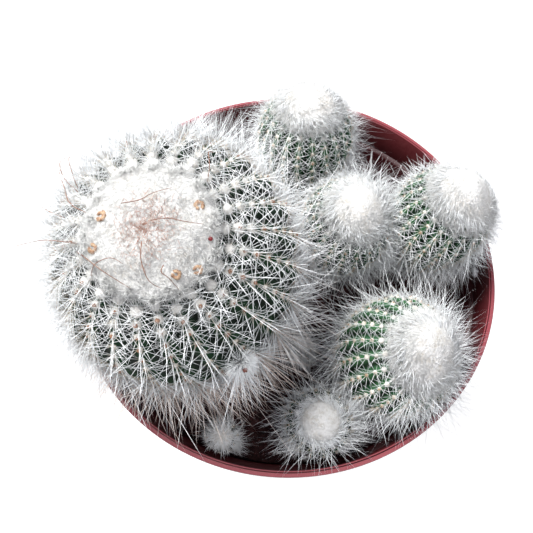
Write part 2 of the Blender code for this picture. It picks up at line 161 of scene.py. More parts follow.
STEMS = (
    StemSize("main", (-29.0, -8.0), (-32.7, -19.6, 74.0), bend=34.0, radius=32.4, widest=0.58, foot=0.62,
             wool=15.2, wool_height=3.2, ribs=24, rows=18, valley=1.5, green=0.2, coat=MAIN_COAT,
             shaggy=(-0.80, 0.60), twist=0.3),
    StemSize("back", (6.0, 41.0), (7.6, 42.6, 42.6), bend=20.0, radius=15.0, widest=0.62, foot=0.6,
             wool=7.6, wool_height=2.0, ribs=20, rows=12, valley=0.7, green=0.72, coat=OFFSET_COAT,
             shaggy=(0.25, 0.97)),
    StemSize("middle", (17.6, 12.2), (21.4, 7.8, 37.0), bend=18.0, radius=13.9, widest=0.6, foot=0.6,
             wool=7.2, wool_height=1.9, ribs=20, rows=11, valley=0.7, green=0.72, coat=OFFSET_COAT,
             shaggy=(0.95, 0.31)),
    StemSize("right", (44.6, 12.6), (52.6, 10.4, 41.6), bend=18.0, radius=14.2, widest=0.62, foot=0.58,
             wool=8.2, wool_height=2.1, ribs=20, rows=12, valley=0.7, green=0.8, coat=OFFSET_COAT,
             shaggy=(1.0, 0.0)),
    StemSize("lower_right", (28.4, -29.6), (37.6, -35.4, 35.4), bend=15.0, radius=16.6, widest=0.57, foot=0.6,
             wool=8.2, wool_height=2.2, ribs=20, rows=13, valley=0.9, green=1.0, coat=GREEN_COAT,
             shaggy=(0.90, -0.44)),
    StemSize("bottom", (9.0, -48.4), (8.9, -51.0, 22.8), bend=10.0, radius=9.4, widest=0.55, foot=0.6,
             wool=4.7, wool_height=1.6, ribs=16, rows=8, valley=0.4, green=0.5, coat=BUD_COAT,
             shaggy=(0.45, -0.89)),
    StemSize("small", (-19.0, -51.6), (-18.8, -53.0, 13.6), bend=6.0, radius=4.4, widest=0.5, foot=0.6,
             wool=2.5, wool_height=1.3, ribs=10, rows=4, valley=0.3, green=0.2, coat=TUFT_COAT,
             shaggy=(0.0, -1.0)),
    StemSize("tiny", (5.5, -23.0), (5.0, -24.0, 9.0), bend=4.0, radius=3.0, widest=0.5, foot=0.6,
             wool=1.8, wool_height=1.0, ribs=8, rows=3, valley=0.2, green=0.2, coat=TUFT_COAT,
             shaggy=(0.0, -1.0)),
)


def unit(v: Array) -> Array:
    """The vectors of the last axis at length one."""
    return v / np.maximum(np.linalg.norm(v, axis=-1, keepdims=True), 1e-12)


def ripple(x: Array, y: Array, z: Array) -> Array:
    """A smooth uneven value between about -1 and 1, fixed for each place."""
    return (np.sin(1.9 * x + 0.7 * y + 0.6 * z) + np.sin(-0.8 * x + 2.3 * y + 1.1 * z)
            + np.sin(3.1 * x - 1.7 * y + 1.9 + 0.9 * z)) / 3.0


def wall_outer(z: Array) -> Array:
    """Outer radius of the pot's wall below its rim band."""
    return RIM_RADIUS - RIM_BAND_STEP - (POT_HEIGHT - z) * math.tan(POT_TAPER)


def wall_inner(z: Array) -> Array:
    """Inner radius of the pot's wall."""
    return wall_outer(z) - WALL


class StemForm:
    """The skin of one stem as a formula: an egg-shaped outline turned about a curved core."""

    STEPS = 61
    OUTLINE = 60

    def __init__(self, size: StemSize) -> None:
        """Sample the core and the outline.

        Args:
            size: the stem's sizes.
        """
        self.size = size
        start = np.array([*size.base, SOIL_LEVEL + STEM_LIFT])
        tip = np.array([size.tip[0], size.tip[1], SOIL_LEVEL + size.tip[2]])
        knee = start + UP * size.bend
        t = np.linspace(0.0, 1.0, self.STEPS)[:, None]
        self.core = (1 - t) ** 2 * start + 2 * t * (1 - t) * knee + t ** 2 * tip
        steps = np.linalg.norm(np.diff(self.core, axis=0), axis=1)
        self.along = np.concatenate([[0.0], np.cumsum(steps)])
        self.length = float(self.along[-1])
        self.tangent = np.gradient(self.core, self.along, axis=0)
        wide = self.length * size.widest
        psi = np.linspace(0.0, math.pi / 2, self.OUTLINE)
        low = np.linspace(0.0, 1.0, self.OUTLINE)[1:]
        self.h = np.concatenate([wide + (self.length - wide) * np.cos(psi), wide * (1 - low)])
        self.r = np.concatenate([size.radius * np.sin(psi), size.radius * (1 - (1 - size.foot) * low ** 2)])
        self.arc = np.concatenate([[0.0], np.cumsum(np.hypot(np.diff(self.h), np.diff(self.r)))])
        self.total = float(self.arc[-1])
        self.n_out = -np.gradient(self.h, self.arc)
        self.n_up = np.gradient(self.r, self.arc)
        self.wool_arc = float(np.interp(size.wool, self.r[:self.OUTLINE], self.arc[:self.OUTLINE]))
        self.first = self.wool_arc + SKIN_MARGIN
        self.last = self.total - 2 * SKIN_MARGIN
        self.neck = size.radius * size.foot * NECK_SHARE

    def radius_at(self, arc: Array) -> Array:
        """Radius about the core at a distance down from the tip."""
        return np.interp(arc, self.arc, self.r)

    def place(self, arc: Array, angle: Array, lift: Array) -> tuple[Array, Array, Array, Array]:
        """Points on the skin, or over it by a lift.

        Args:
            arc: distances down the skin from the tip.
            angle: angles about the core.
            lift: heights over the plain skin.

        Returns:
            The points, and at each the outward normal, the way up to the tip and the way to the side.
        """
        arc, angle, lift = np.broadcast_arrays(arc, angle, lift)
        h = np.interp(arc, self.arc, self.h)
        r = self.radius_at(arc)[..., None]
        out = np.interp(arc, self.arc, self.n_out)[..., None]
        rise = np.interp(arc, self.arc, self.n_up)[..., None]
        centre = np.stack([np.interp(h, self.along, self.core[:, k]) for k in range(3)], -1)
        axis = unit(np.stack([np.interp(h, self.along, self.tangent[:, k]) for k in range(3)], -1))
        east = unit(np.array([1.0, 0.0, 0.0]) - axis[..., :1] * axis)
        north = np.cross(axis, east)
        radial = np.cos(angle)[..., None] * east + np.sin(angle)[..., None] * north
        side = np.cross(axis, radial)
        normal = unit(out * radial + rise * axis)
        return centre + r * radial + lift[..., None] * normal, normal, unit(np.cross(normal, side)), side

    def rib_angle(self, rib: Array, arc: Array) -> Array:
        """Angle of a rib's crest at a distance down from the tip."""
        return 2 * math.pi * rib / self.size.ribs + self.size.twist * arc / self.total

    def row_arc(self, rib: Array, row: Array) -> Array:
        """Distance down from the tip of an areole: the rows of neighbouring ribs are staggered.

        Args:
            rib: the ribs' numbers.
            row: the areoles' numbers along their ribs.

        Returns:
            The distances.
        """
        stagger = np.where(rib % 2 == 1, 0.25, -0.25)
        share = np.clip((row + 0.5 + stagger) / self.size.rows, 0.0, 1.0)
        return self.first + (self.last - self.first) * share ** ROW_SPREAD

    def relief(self, arc: Array, angle: Array) -> tuple[Array, Array]:
        """Height of the ribs and their bumps over the plain skin.

        Args:
            arc: distances down the skin from the tip.
            angle: angles about the core.

        Returns:
            The heights, and how close each point is to a rib's crest, from 0 to 1.
        """
        size = self.size
        turn = (angle - size.twist * arc / self.total) * size.ribs / (2 * math.pi)
        rib = np.round(turn)
        crest = (0.5 + 0.5 * np.cos(2 * math.pi * (turn - rib))) ** 0.8
        share = np.clip((arc - self.first) / (self.last - self.first), 0.0, 1.0) ** (1 / ROW_SPREAD)
        stagger = np.where(rib % 2 == 1, 0.25, -0.25)
        bump = 0.5 + 0.5 * np.cos(2 * math.pi * (share * size.rows - 0.5 - stagger))
        depth = size.valley * self.radius_at(arc) / size.radius
        fade = np.clip((arc - self.wool_arc) / (3 * SKIN_MARGIN), 0.0, 1.0)
        return fade * depth * (-1 + 1.25 * crest + 0.45 * (bump - 0.6) * crest), crest


def mesh_object(name: str, mesh: bpy.types.Mesh, material: bpy.types.Material,
                nodes: tuple[str, ...] = ()) -> bpy.types.Object:
    """Put a finished mesh in the scene as a piece of the object.

    Args:
        name: the piece's name.
        mesh: its mesh, in metres and in place.
        material: its finish.
        nodes: the solids that it stands for.

    Returns:
        The new object.
    """
    mesh.name = name
    mesh.materials.append(material)
    obj = bpy.data.objects.new(name, mesh)
    bpy.context.scene.collection.objects.link(obj)
    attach(obj, BODY)
    if nodes:
        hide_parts(*nodes)
    log.info("%s: %d faces", name, len(mesh.polygons))
    return obj


def from_bmesh(bm: bmesh.types.BMesh) -> bpy.types.Mesh:
    """Turn a bmesh into a mesh.

    Args:
        bm: the bmesh in millimetres, which is freed.

    Returns:
        A smooth mesh in metres.
    """
    bmesh.ops.scale(bm, vec=(MM, MM, MM), verts=bm.verts)
    mesh = bpy.data.meshes.new("piece")
    bm.to_mesh(mesh)
    bm.free()
    mesh.shade_smooth()
    return mesh


def set_attribute(mesh: bpy.types.Mesh, name: str, values: Array) -> None:
    """Store one number for each point of a mesh."""
    layer = mesh.attributes.new(name, "FLOAT", "POINT")
    layer.data.foreach_set("value", np.asarray(values, np.float32).ravel())


@dataclass(frozen=True)
class Template:
    """A small closed shape that is copied many times: its points and its triangles."""

    points: Array
    faces: Array


def read_template(bm: bmesh.types.BMesh) -> Template:
    """Keep a small shape for copying.

    Args:
        bm: the shape, which is freed.

    Returns:
        Its points and triangles.
    """
    bmesh.ops.triangulate(bm, faces=bm.faces)
    bmesh.ops.recalc_face_normals(bm, faces=bm.faces)
    bm.verts.index_update()
    points = np.array([v.co[:] for v in bm.verts])
    faces = np.array([[v.index for v in f.verts] for f in bm.faces])
    bm.free()
    return Template(points, faces)


def needle_template(joints: int, sides: int = 3) -> Template:
    """A slim cone along +z from 0 to 1, of radius 1 at its root.

    Args:
        joints: how many rings between root and point let it bend.
        sides: how many sides it has.

    Returns:
        The shape to copy.
    """
    bm = bmesh.new()
    bmesh.ops.create_cone(bm, cap_ends=True, segments=sides, radius1=1.0, radius2=0.0, depth=1.0)
    bmesh.ops.translate(bm, vec=(0.0, 0.0, 0.5), verts=bm.verts)
    for k in range(joints):
        height = ((k + 1) / (joints + 1)) ** 0.6
        geom = bm.verts[:] + bm.edges[:] + bm.faces[:]
        bmesh.ops.bisect_plane(bm, geom=geom, plane_co=(0.0, 0.0, height), plane_no=(0.0, 0.0, 1.0))
    bmesh.ops.remove_doubles(bm, verts=bm.verts, dist=1e-5)
    for v in bm.verts:
        swell = (1 - v.co.z) ** -0.7 if 0.0 < v.co.z < 1.0 else 1.0
        v.co.x *= swell
        v.co.y *= swell
    return read_template(bm)


def ball_template(level: int) -> Template:
    """A ball of radius 1.

    Args:
        level: how finely it is split.

    Returns:
        The shape to copy.
    """
    bm = bmesh.new()
    bmesh.ops.create_icosphere(bm, subdivisions=level, radius=1.0)
    return read_template(bm)


def cup_template(radius: float = 0.66, thickness: float = 0.42) -> Template:
    """The curled remains of a flower: an open ring of withered tube.

    Args:
        radius: the ring's radius.
        thickness: the tube's radius.

    Returns:
        The shape to copy.
    """
    bm = bmesh.new()
    bmesh.ops.create_circle(bm, cap_ends=True, segments=7, radius=thickness)
    bmesh.ops.rotate(bm, verts=bm.verts, cent=(0, 0, 0), matrix=Matrix.Rotation(math.pi / 2, 3, "X"))
    bmesh.ops.translate(bm, verts=bm.verts, vec=(radius, 0, 0))
    geom = bm.verts[:] + bm.edges[:] + bm.faces[:]
    bmesh.ops.spin(bm, geom=geom, cent=(0, 0, 0), axis=(0, 0, 1), angle=math.radians(325), steps=12)
    return read_template(bm)


@dataclass
class Fibres:
    """Many needles or hairs: where each starts, its way, its length, its root radius and its bend."""

    root: Array
    way: Array
    length: Array
    radius: Array
    bend: Array
    tone: Array

    def picked(self, mask: Array) -> "Fibres":
        """The fibres that a mask keeps."""
        return Fibres(*(getattr(self, key)[mask] for key in FIBRE_KEYS))

    def tips(self) -> Array:
        """Where the fibres end."""
        return self.root + self.way * self.length[:, None] + self.bend

    @staticmethod
    def joined(groups: list["Fibres"]) -> "Fibres":
        """Several groups as one."""
        return Fibres(*(np.concatenate([getattr(g, key) for g in groups]) for key in FIBRE_KEYS))

    def drawn(self, pull: tuple[float, float, float]) -> "Fibres":
        """The fibres with their ways drawn to one side."""
        return replace(self, way=unit(self.way + np.array(pull)))

    def clear_of_pot(self) -> "Fibres":
        """Leave out the fibres that would pass into the pot or the soil, or stand too far out.

        Returns:
            The fibres that are left.
        """
        low, high = (np.array(corner) / MM for corner in CAD_BOX)
        tips = self.tips()
        keep = ((tips > low - HAIR_REACH) & (tips < high + HAIR_REACH)).all(axis=1)
        for share in (0.35, 0.7, 1.0):
            p = self.root + self.way * (self.length * share)[:, None] + self.bend * share ** 2
            side, z = np.hypot(p[:, 0], p[:, 1]), p[:, 2]
            in_wall = (side > wall_inner(z) - 0.3) & (side < RIM_RADIUS + 0.3) & (z < POT_HEIGHT + 0.4)
            keep &= ~in_wall & ~((z < SOIL_LEVEL) & (side < RIM_RADIUS))
        return self.picked(keep)

    def mesh(self, template: Template) -> bpy.types.Mesh:
        """Copy the template along every fibre.

        Args:
            template: a slim shape along +z from 0 to 1.

        Returns:
            One mesh in metres, with the attributes tone and along.
        """
        n = len(self.root)
        x, y, z = template.points.T
        way = unit(self.way)
        other = np.where(np.abs(way[:, 2:3]) < 0.9, np.array([[0.0, 0.0, 1.0]]), np.array([[1.0, 0.0, 0.0]]))
        a = unit(np.cross(way, other))
        b = np.cross(way, a)
        r = self.radius[:, None, None]
        points = (self.root[:, None, :] + way[:, None, :] * (self.length[:, None] * z)[..., None]
                  + self.bend[:, None, :] * (z ** 2)[None, :, None]
                  + r * (x[None, :, None] * a[:, None, :] + y[None, :, None] * b[:, None, :]))
        mesh = copies_mesh(points, template.faces)
        set_attribute(mesh, "tone", np.repeat(self.tone, len(x)))
        set_attribute(mesh, "along", np.tile(z, n))
        return mesh


def copies_mesh(points: Array, faces: Array) -> bpy.types.Mesh:
    """One mesh from many copies of a small shape.

    Args:
        points: the points of each copy, in millimetres.
        faces: the triangles of one copy.

    Returns:
        A smooth mesh in metres.
    """
    n, m = points.shape[:2]
    corners = (faces[None] + (np.arange(n) * m)[:, None, None]).ravel()
    mesh = bpy.data.meshes.new("copies")
    mesh.vertices.add(n * m)
    mesh.vertices.foreach_set("co", (points * MM).astype(np.float32).ravel())
    mesh.loops.add(len(corners))
    mesh.loops.foreach_set("vertex_index", corners.astype(np.int32))
    mesh.polygons.add(len(corners) // 3)
    mesh.polygons.foreach_set("loop_start", np.arange(0, len(corners), 3, dtype=np.int32))
    mesh.update(calc_edges=True)
    mesh.validate()
    mesh.shade_smooth()
    return mesh


class Graph:
    """A material's node tree with short calls for the nodes that the finishes share."""

    def __init__(self, name: str) -> None:
        """Start a material.

        Args:
            name: the material's name.
        """
        self.material = bpy.data.materials.new(name)
        self.material.use_nodes = True
        self.tree = self.material.node_tree
        self.shader = self.tree.nodes["Principled BSDF"]

    def node(self, kind: str, **values: object) -> bpy.types.Node:
        """A new node with its properties set.

        Args:
            kind: the node's type.
            values: its properties.

        Returns:
            The node.
        """
        made = self.tree.nodes.new(kind)
        for key, value in values.items():
            setattr(made, key, value)
        return made

    def link(self, out: bpy.types.NodeSocket, into: bpy.types.NodeSocket) -> None:
        """Join two sockets."""
        self.tree.links.new(out, into)

    def setting(self, name: str, value: object) -> None:
        """Set one of the shader's own sockets."""
        self.shader.inputs[name].default_value = value

    def noise(self, scale: float, detail: float = 3.0,
              stretch: Colour = (1.0, 1.0, 1.0)) -> bpy.types.NodeSocket:
        """Noise on object coordinates, with its scale in cycles a metre.

        Args:
            scale: how fine the noise is.
            detail: how many finer layers it has.
            stretch: scale along each axis.

        Returns:
            The noise's factor.
        """
        place = self.node("ShaderNodeTexCoord")
        mapping = self.node("ShaderNodeMapping")
        mapping.inputs["Scale"].default_value = stretch
        self.link(place.outputs["Object"], mapping.inputs["Vector"])
        made = self.node("ShaderNodeTexNoise")
        made.inputs["Scale"].default_value = scale
        made.inputs["Detail"].default_value = detail
        self.link(mapping.outputs["Vector"], made.inputs["Vector"])
        return made.outputs["Fac"]

    def attribute(self, name: str) -> bpy.types.NodeSocket:
        """The number that each point holds under a name."""
        return self.node("ShaderNodeAttribute", attribute_name=name).outputs["Fac"]

    def ramp(self, factor: bpy.types.NodeSocket, stops: list[tuple[float, Colour]]) -> bpy.types.NodeSocket:
        """Colours along a factor.

        Args:
            factor: what picks the colour.
            stops: the places and colours.

        Returns:
            The colour.
        """
        made = self.node("ShaderNodeValToRGB")
        bar = made.color_ramp
        while len(bar.elements) < len(stops):
            bar.elements.new(0.5)
        for element, (place, colour) in zip(bar.elements, stops):
            element.position = place
            element.color = (*colour, 1.0)
        self.link(factor, made.inputs["Fac"])
        return made.outputs["Color"]

    def mix(self, factor: object, a: object, b: object, blend: str = "MIX") -> bpy.types.NodeSocket:
        """Two colours mixed by a factor; each is a colour or a socket.

        Args:
            factor: how much of the second shows.
            a: the first colour.
            b: the second colour.
            blend: how they mix.

        Returns:
            The mixed colour.
        """
        made = self.node("ShaderNodeMix", data_type="RGBA", blend_type=blend)
        if isinstance(factor, bpy.types.NodeSocket):
            self.link(factor, made.inputs[0])
        else:
            made.inputs[0].default_value = factor
        for socket, value in ((made.inputs[6], a), (made.inputs[7], b)):
            if isinstance(value, bpy.types.NodeSocket):
                self.link(value, socket)
            else:
                socket.default_value = (*value, 1.0)
        return made.outputs[2]

    def math(self, kind: str, a: object, b: object = 0.0) -> bpy.types.NodeSocket:
        """A sum on two numbers or sockets.

        Args:
            kind: the sum.
            a: the first.
            b: the second.

        Returns:
            The result.
        """
        made = self.node("ShaderNodeMath", operation=kind)
        for socket, value in zip(made.inputs, (a, b)):
            if isinstance(value, bpy.types.NodeSocket):
                self.link(value, socket)
            else:
                socket.default_value = value
        return made.outputs[0]

    def colour(self, source: bpy.types.NodeSocket) -> None:
        """Use a colour as the base colour."""
        self.link(source, self.shader.inputs["Base Color"])

    def bump(self, height: bpy.types.NodeSocket, strength: float, distance: float) -> None:
        """Rough the surface by a height.

        Args:
            height: the height's socket.
            strength: how strong it is.
            distance: how tall it is, in metres.
        """
        made = self.node("ShaderNodeBump")
        made.inputs["Strength"].default_value = strength
        made.inputs["Distance"].default_value = distance
        self.link(height, made.inputs["Height"])
        self.link(made.outputs["Normal"], self.shader.inputs["Normal"])


@dataclass(frozen=True)
class SkinFinish:
    """Green skin with painted shade in the valleys between the ribs, the stem's own green on the ribs, a
    little mottled, with corky patches low down.
    """

    # The near-black valley colour below is painted shade in the rib valleys.
    valley_shade: Colour = (0.001, 0.0035, 0.0015)
    dark: Colour = (0.005, 0.020, 0.008)
    fresh: Colour = (0.052, 0.160, 0.066)
    cork: Colour = (0.085, 0.065, 0.040)

    def make(self) -> bpy.types.Material:
        """Make the material.

        Returns:
            The finished material.
        """
        g = Graph("skin")
        crest, low, green = g.attribute("crest"), g.attribute("low"), g.attribute("green")
        body = g.mix(green, self.dark, self.fresh)
        # Painted shade: away from the crests the colour turns to the near-black valley colour.
        ribs = g.mix(crest, self.valley_shade, body)
        patch = g.ramp(g.noise(260.0, 4.0), [(0.35, (0.75, 0.80, 0.85)), (0.7, (1.15, 1.12, 1.0))])
        mottled = g.mix(1.0, ribs, patch, "MULTIPLY")
        corky = g.math("MULTIPLY", low, g.noise(500.0, 3.0))
        g.colour(g.mix(corky, mottled, self.cork))
        g.setting("Roughness", 0.65)
        g.setting("Specular IOR Level", 0.15)
        g.bump(g.noise(2600.0, 2.0), 0.35, 0.0002)
        return g.material


@dataclass(frozen=True)
class FibreFinish:
    """Needles, hairs or wool: a root colour that turns into a shaft colour, a little different on each."""

    name: str
    root: Colour
    shaft: Colour
    dull: Colour
    turn: float = 0.2
    roughness: float = 0.5
    sheen: float = 0.0

    def make(self) -> bpy.types.Material:
        """Make the material.

        Returns:
            The finished material.
        """
        g = Graph(self.name)
        shaft = g.mix(g.attribute("tone"), self.dull, self.shaft)
        along = g.ramp(g.attribute("along"), [(0.0, (0.0, 0.0, 0.0)), (self.turn, (1.0, 1.0, 1.0))])
        g.colour(g.mix(along, self.root, shaft))
        g.setting("Roughness", self.roughness)
        g.setting("Specular IOR Level", 0.4)
        g.setting("Sheen Weight", self.sheen)
        return g.material


@dataclass(frozen=True)
class WoolFinish:
    """Felted wool: off-white and cream with a fine fibrous bump; the colour follows the bump, so its hollows
    carry painted shade.
    """

    white: Colour = (0.64, 0.63, 0.61)
    cream: Colour = (0.49, 0.46, 0.41)

    def make(self) -> bpy.types.Material:
        """Make the material.

        Returns:
            The finished material.
        """
        g = Graph("wool_felt")
        fine, broad = g.noise(1500.0, 4.0), g.noise(330.0, 3.0)
        # Painted shade: the colour shares the bump's fine noise, so the hollows turn to the darker cream.
        g.colour(g.ramp(g.math("MULTIPLY", g.math("ADD", fine, broad), 0.5),
                        [(0.36, self.cream), (0.52, self.white)]))
        g.setting("Roughness", 0.95)
        g.setting("Specular IOR Level", 0.1)
        g.setting("Sheen Weight", 0.3)
        g.bump(fine, 0.8, 0.0005)
        return g.material


@dataclass(frozen=True)
class PadFinish:
    """Areole pads: white near the tip, cream lower down."""

    white: Colour = (0.80, 0.78, 0.74)
    cream: Colour = (0.74, 0.65, 0.52)

    def make(self) -> bpy.types.Material:
        """Make the material.

        Returns:
            The finished material.
        """
        g = Graph("areole_pad")
        g.colour(g.mix(g.attribute("tone"), self.white, self.cream))
        g.setting("Roughness", 0.9)
        g.setting("Sheen Weight", 0.4)
        g.bump(g.noise(3500.0, 3.0), 0.6, 0.0003)
        return g.material


@dataclass(frozen=True)
class SpotFinish:
    """A small coloured spot, a little uneven."""

    name: str
    light: Colour
    dark: Colour
    roughness: float = 0.7

    def make(self) -> bpy.types.Material:
        """Make the material.

        Returns:
            The finished material.
        """
        g = Graph(self.name)
        g.colour(g.ramp(g.noise(1800.0, 3.0), [(0.35, self.dark), (0.65, self.light)]))
        g.setting("Roughness", self.roughness)
        return g.material


@dataclass(frozen=True)
class PlasticFinish:
    """Reddish moulded plastic with faint flow streaks, painted light on the rim's top and painted shade
    inside that darkens downwards.
    """

    red: Colour = (0.100, 0.013, 0.016)
    pale: Colour = (0.155, 0.032, 0.036)
    # The rim colour is painted light: a paler colour laid on the rim's top faces.
    rim_top_light: Colour = (0.250, 0.052, 0.062)
    # The inner colour is painted shade: a near-black red laid inside the pot, stronger further down.
    inner_shade: Colour = (0.036, 0.004, 0.005)

    def make(self) -> bpy.types.Material:
        """Make the material.

        Returns:
            The finished material.
        """
        g = Graph("pot_plastic_moulded")
        streak = g.noise(70.0, 4.0, (1.0, 1.0, 0.12))
        speck = g.noise(900.0, 5.0)
        dusty = g.ramp(g.math("MULTIPLY", streak, speck), [(0.20, (0.0, 0.0, 0.0)), (0.46, (1.0, 1.0, 1.0))])
        wall = g.mix(dusty, self.red, self.pale)
        # Painted light: the rim's top faces take the paler rim colour.
        rim = g.mix(g.attribute("rim"), wall, self.rim_top_light)
        # Painted shade: the inside of the pot turns toward the near-black inner colour, more deeply further
        # down.
        g.colour(g.mix(g.attribute("inner"), rim, self.inner_shade))
        rough = g.ramp(speck, [(0.3, (0.36, 0.36, 0.36)), (0.7, (0.52, 0.52, 0.52))])
        g.link(rough, g.shader.inputs["Roughness"])
        g.setting("Specular IOR Level", 0.4)
        g.bump(g.noise(1800.0, 3.0), 0.12, 0.0002)
        return g.material


@dataclass(frozen=True)
class SoilFinish:
    """Peat: dark brown crumbs; the colour follows the bump, with painted shade near-black in its hollows."""

    dark: Colour = (0.016, 0.0035, 0.0035)
    brown: Colour = (0.055, 0.013, 0.012)

    def make(self) -> bpy.types.Material:
        """Make the material.

        Returns:
            The finished material.
        """
        g = Graph("peat")
        crumb = g.noise(800.0, 6.0)
        # Painted shade: the colour shares the bump's noise, so the hollows are near-black and the tops brown.
        g.colour(g.ramp(crumb, [(0.38, self.dark), (0.66, self.brown)]))
        g.setting("Roughness", 0.95)
        g.bump(crumb, 0.9, 0.0012)
        return g.material


@dataclass(frozen=True)
class FloorFinish:
    """A plain pale floor that glows a little, like a light table."""

    tint: Colour = (0.26, 0.26, 0.26)
    glow: float = 0.9

    def make(self) -> bpy.types.Material:
        """Make the material.

        Returns:
            The finished material.
        """
        g = Graph("floor_pale")
        g.colour(g.ramp(g.noise(3.0, 1.0), [(0.0, self.tint), (1.0, tuple(0.99 * c for c in self.tint))]))
        g.setting("Roughness", 0.9)
        g.setting("Emission Color", (1.0, 1.0, 1.0, 1.0))
        g.setting("Emission Strength", self.glow)
        return g.material


@dataclass(frozen=True)
class Finishes:
    """Every finish, made once."""

    skin: bpy.types.Material
    spine: bpy.types.Material
    hair: bpy.types.Material
    beard: bpy.types.Material
    fuzz: bpy.types.Material
    wool: bpy.types.Material
    felt: bpy.types.Material
    pad: bpy.types.Material
    eye: bpy.types.Material
    tan_eye: bpy.types.Material
    berry: bpy.types.Material
    bud: bpy.types.Material
    plastic: bpy.types.Material
    peat: bpy.types.Material
    flower: bpy.types.Material
    grain: bpy.types.Material

    @classmethod
    def make(cls) -> "Finishes":
        """Make the materials.

        Returns:
            All of them.
        """
        white, cream, dull = (0.95, 0.96, 0.96), (0.66, 0.52, 0.34), (0.82, 0.84, 0.84)
        return cls(
            skin=SkinFinish().make(),
            spine=FibreFinish("spine_white", root=cream, shaft=white, dull=dull).make(),
            hair=FibreFinish("hair_brown", root=(0.20, 0.11, 0.07), shaft=(0.33, 0.19, 0.13),
                             dull=(0.17, 0.09, 0.065)).make(),
            beard=FibreFinish("beard_beige", root=(0.74, 0.60, 0.51), shaft=(0.95, 0.95, 0.94),
                              dull=(0.95, 0.79, 0.69), turn=0.4).make(),
            fuzz=FibreFinish("fuzz_russet", root=(0.42, 0.20, 0.13), shaft=(0.52, 0.30, 0.22),
                             dull=(0.34, 0.16, 0.11)).make(),
            wool=FibreFinish("wool_white", root=(0.67, 0.66, 0.63), shaft=(0.85, 0.85, 0.83),
                             dull=(0.58, 0.58, 0.56), sheen=0.2, roughness=0.8).make(),
            felt=WoolFinish().make(),
            pad=PadFinish().make(),
            eye=SpotFinish("areole_eye", (0.37, 0.20, 0.12), (0.22, 0.11, 0.06)).make(),
            tan_eye=SpotFinish("areole_eye_tan", (0.56, 0.40, 0.26), (0.38, 0.23, 0.13)).make(),
            berry=SpotFinish("berry_red", (0.20, 0.015, 0.02), (0.10, 0.01, 0.01), 0.3).make(),
            bud=SpotFinish("bud_brown", (0.20, 0.07, 0.05), (0.10, 0.03, 0.02), 0.6).make(),
            plastic=PlasticFinish().make(),
            peat=SoilFinish().make(),
            flower=SpotFinish("flower_dry", (0.50, 0.35, 0.22), (0.22, 0.11, 0.06), 0.8).make(),
            grain=SpotFinish("grain_pale", (0.85, 0.85, 0.88), (0.45, 0.45, 0.48), 0.8).make(),
        )


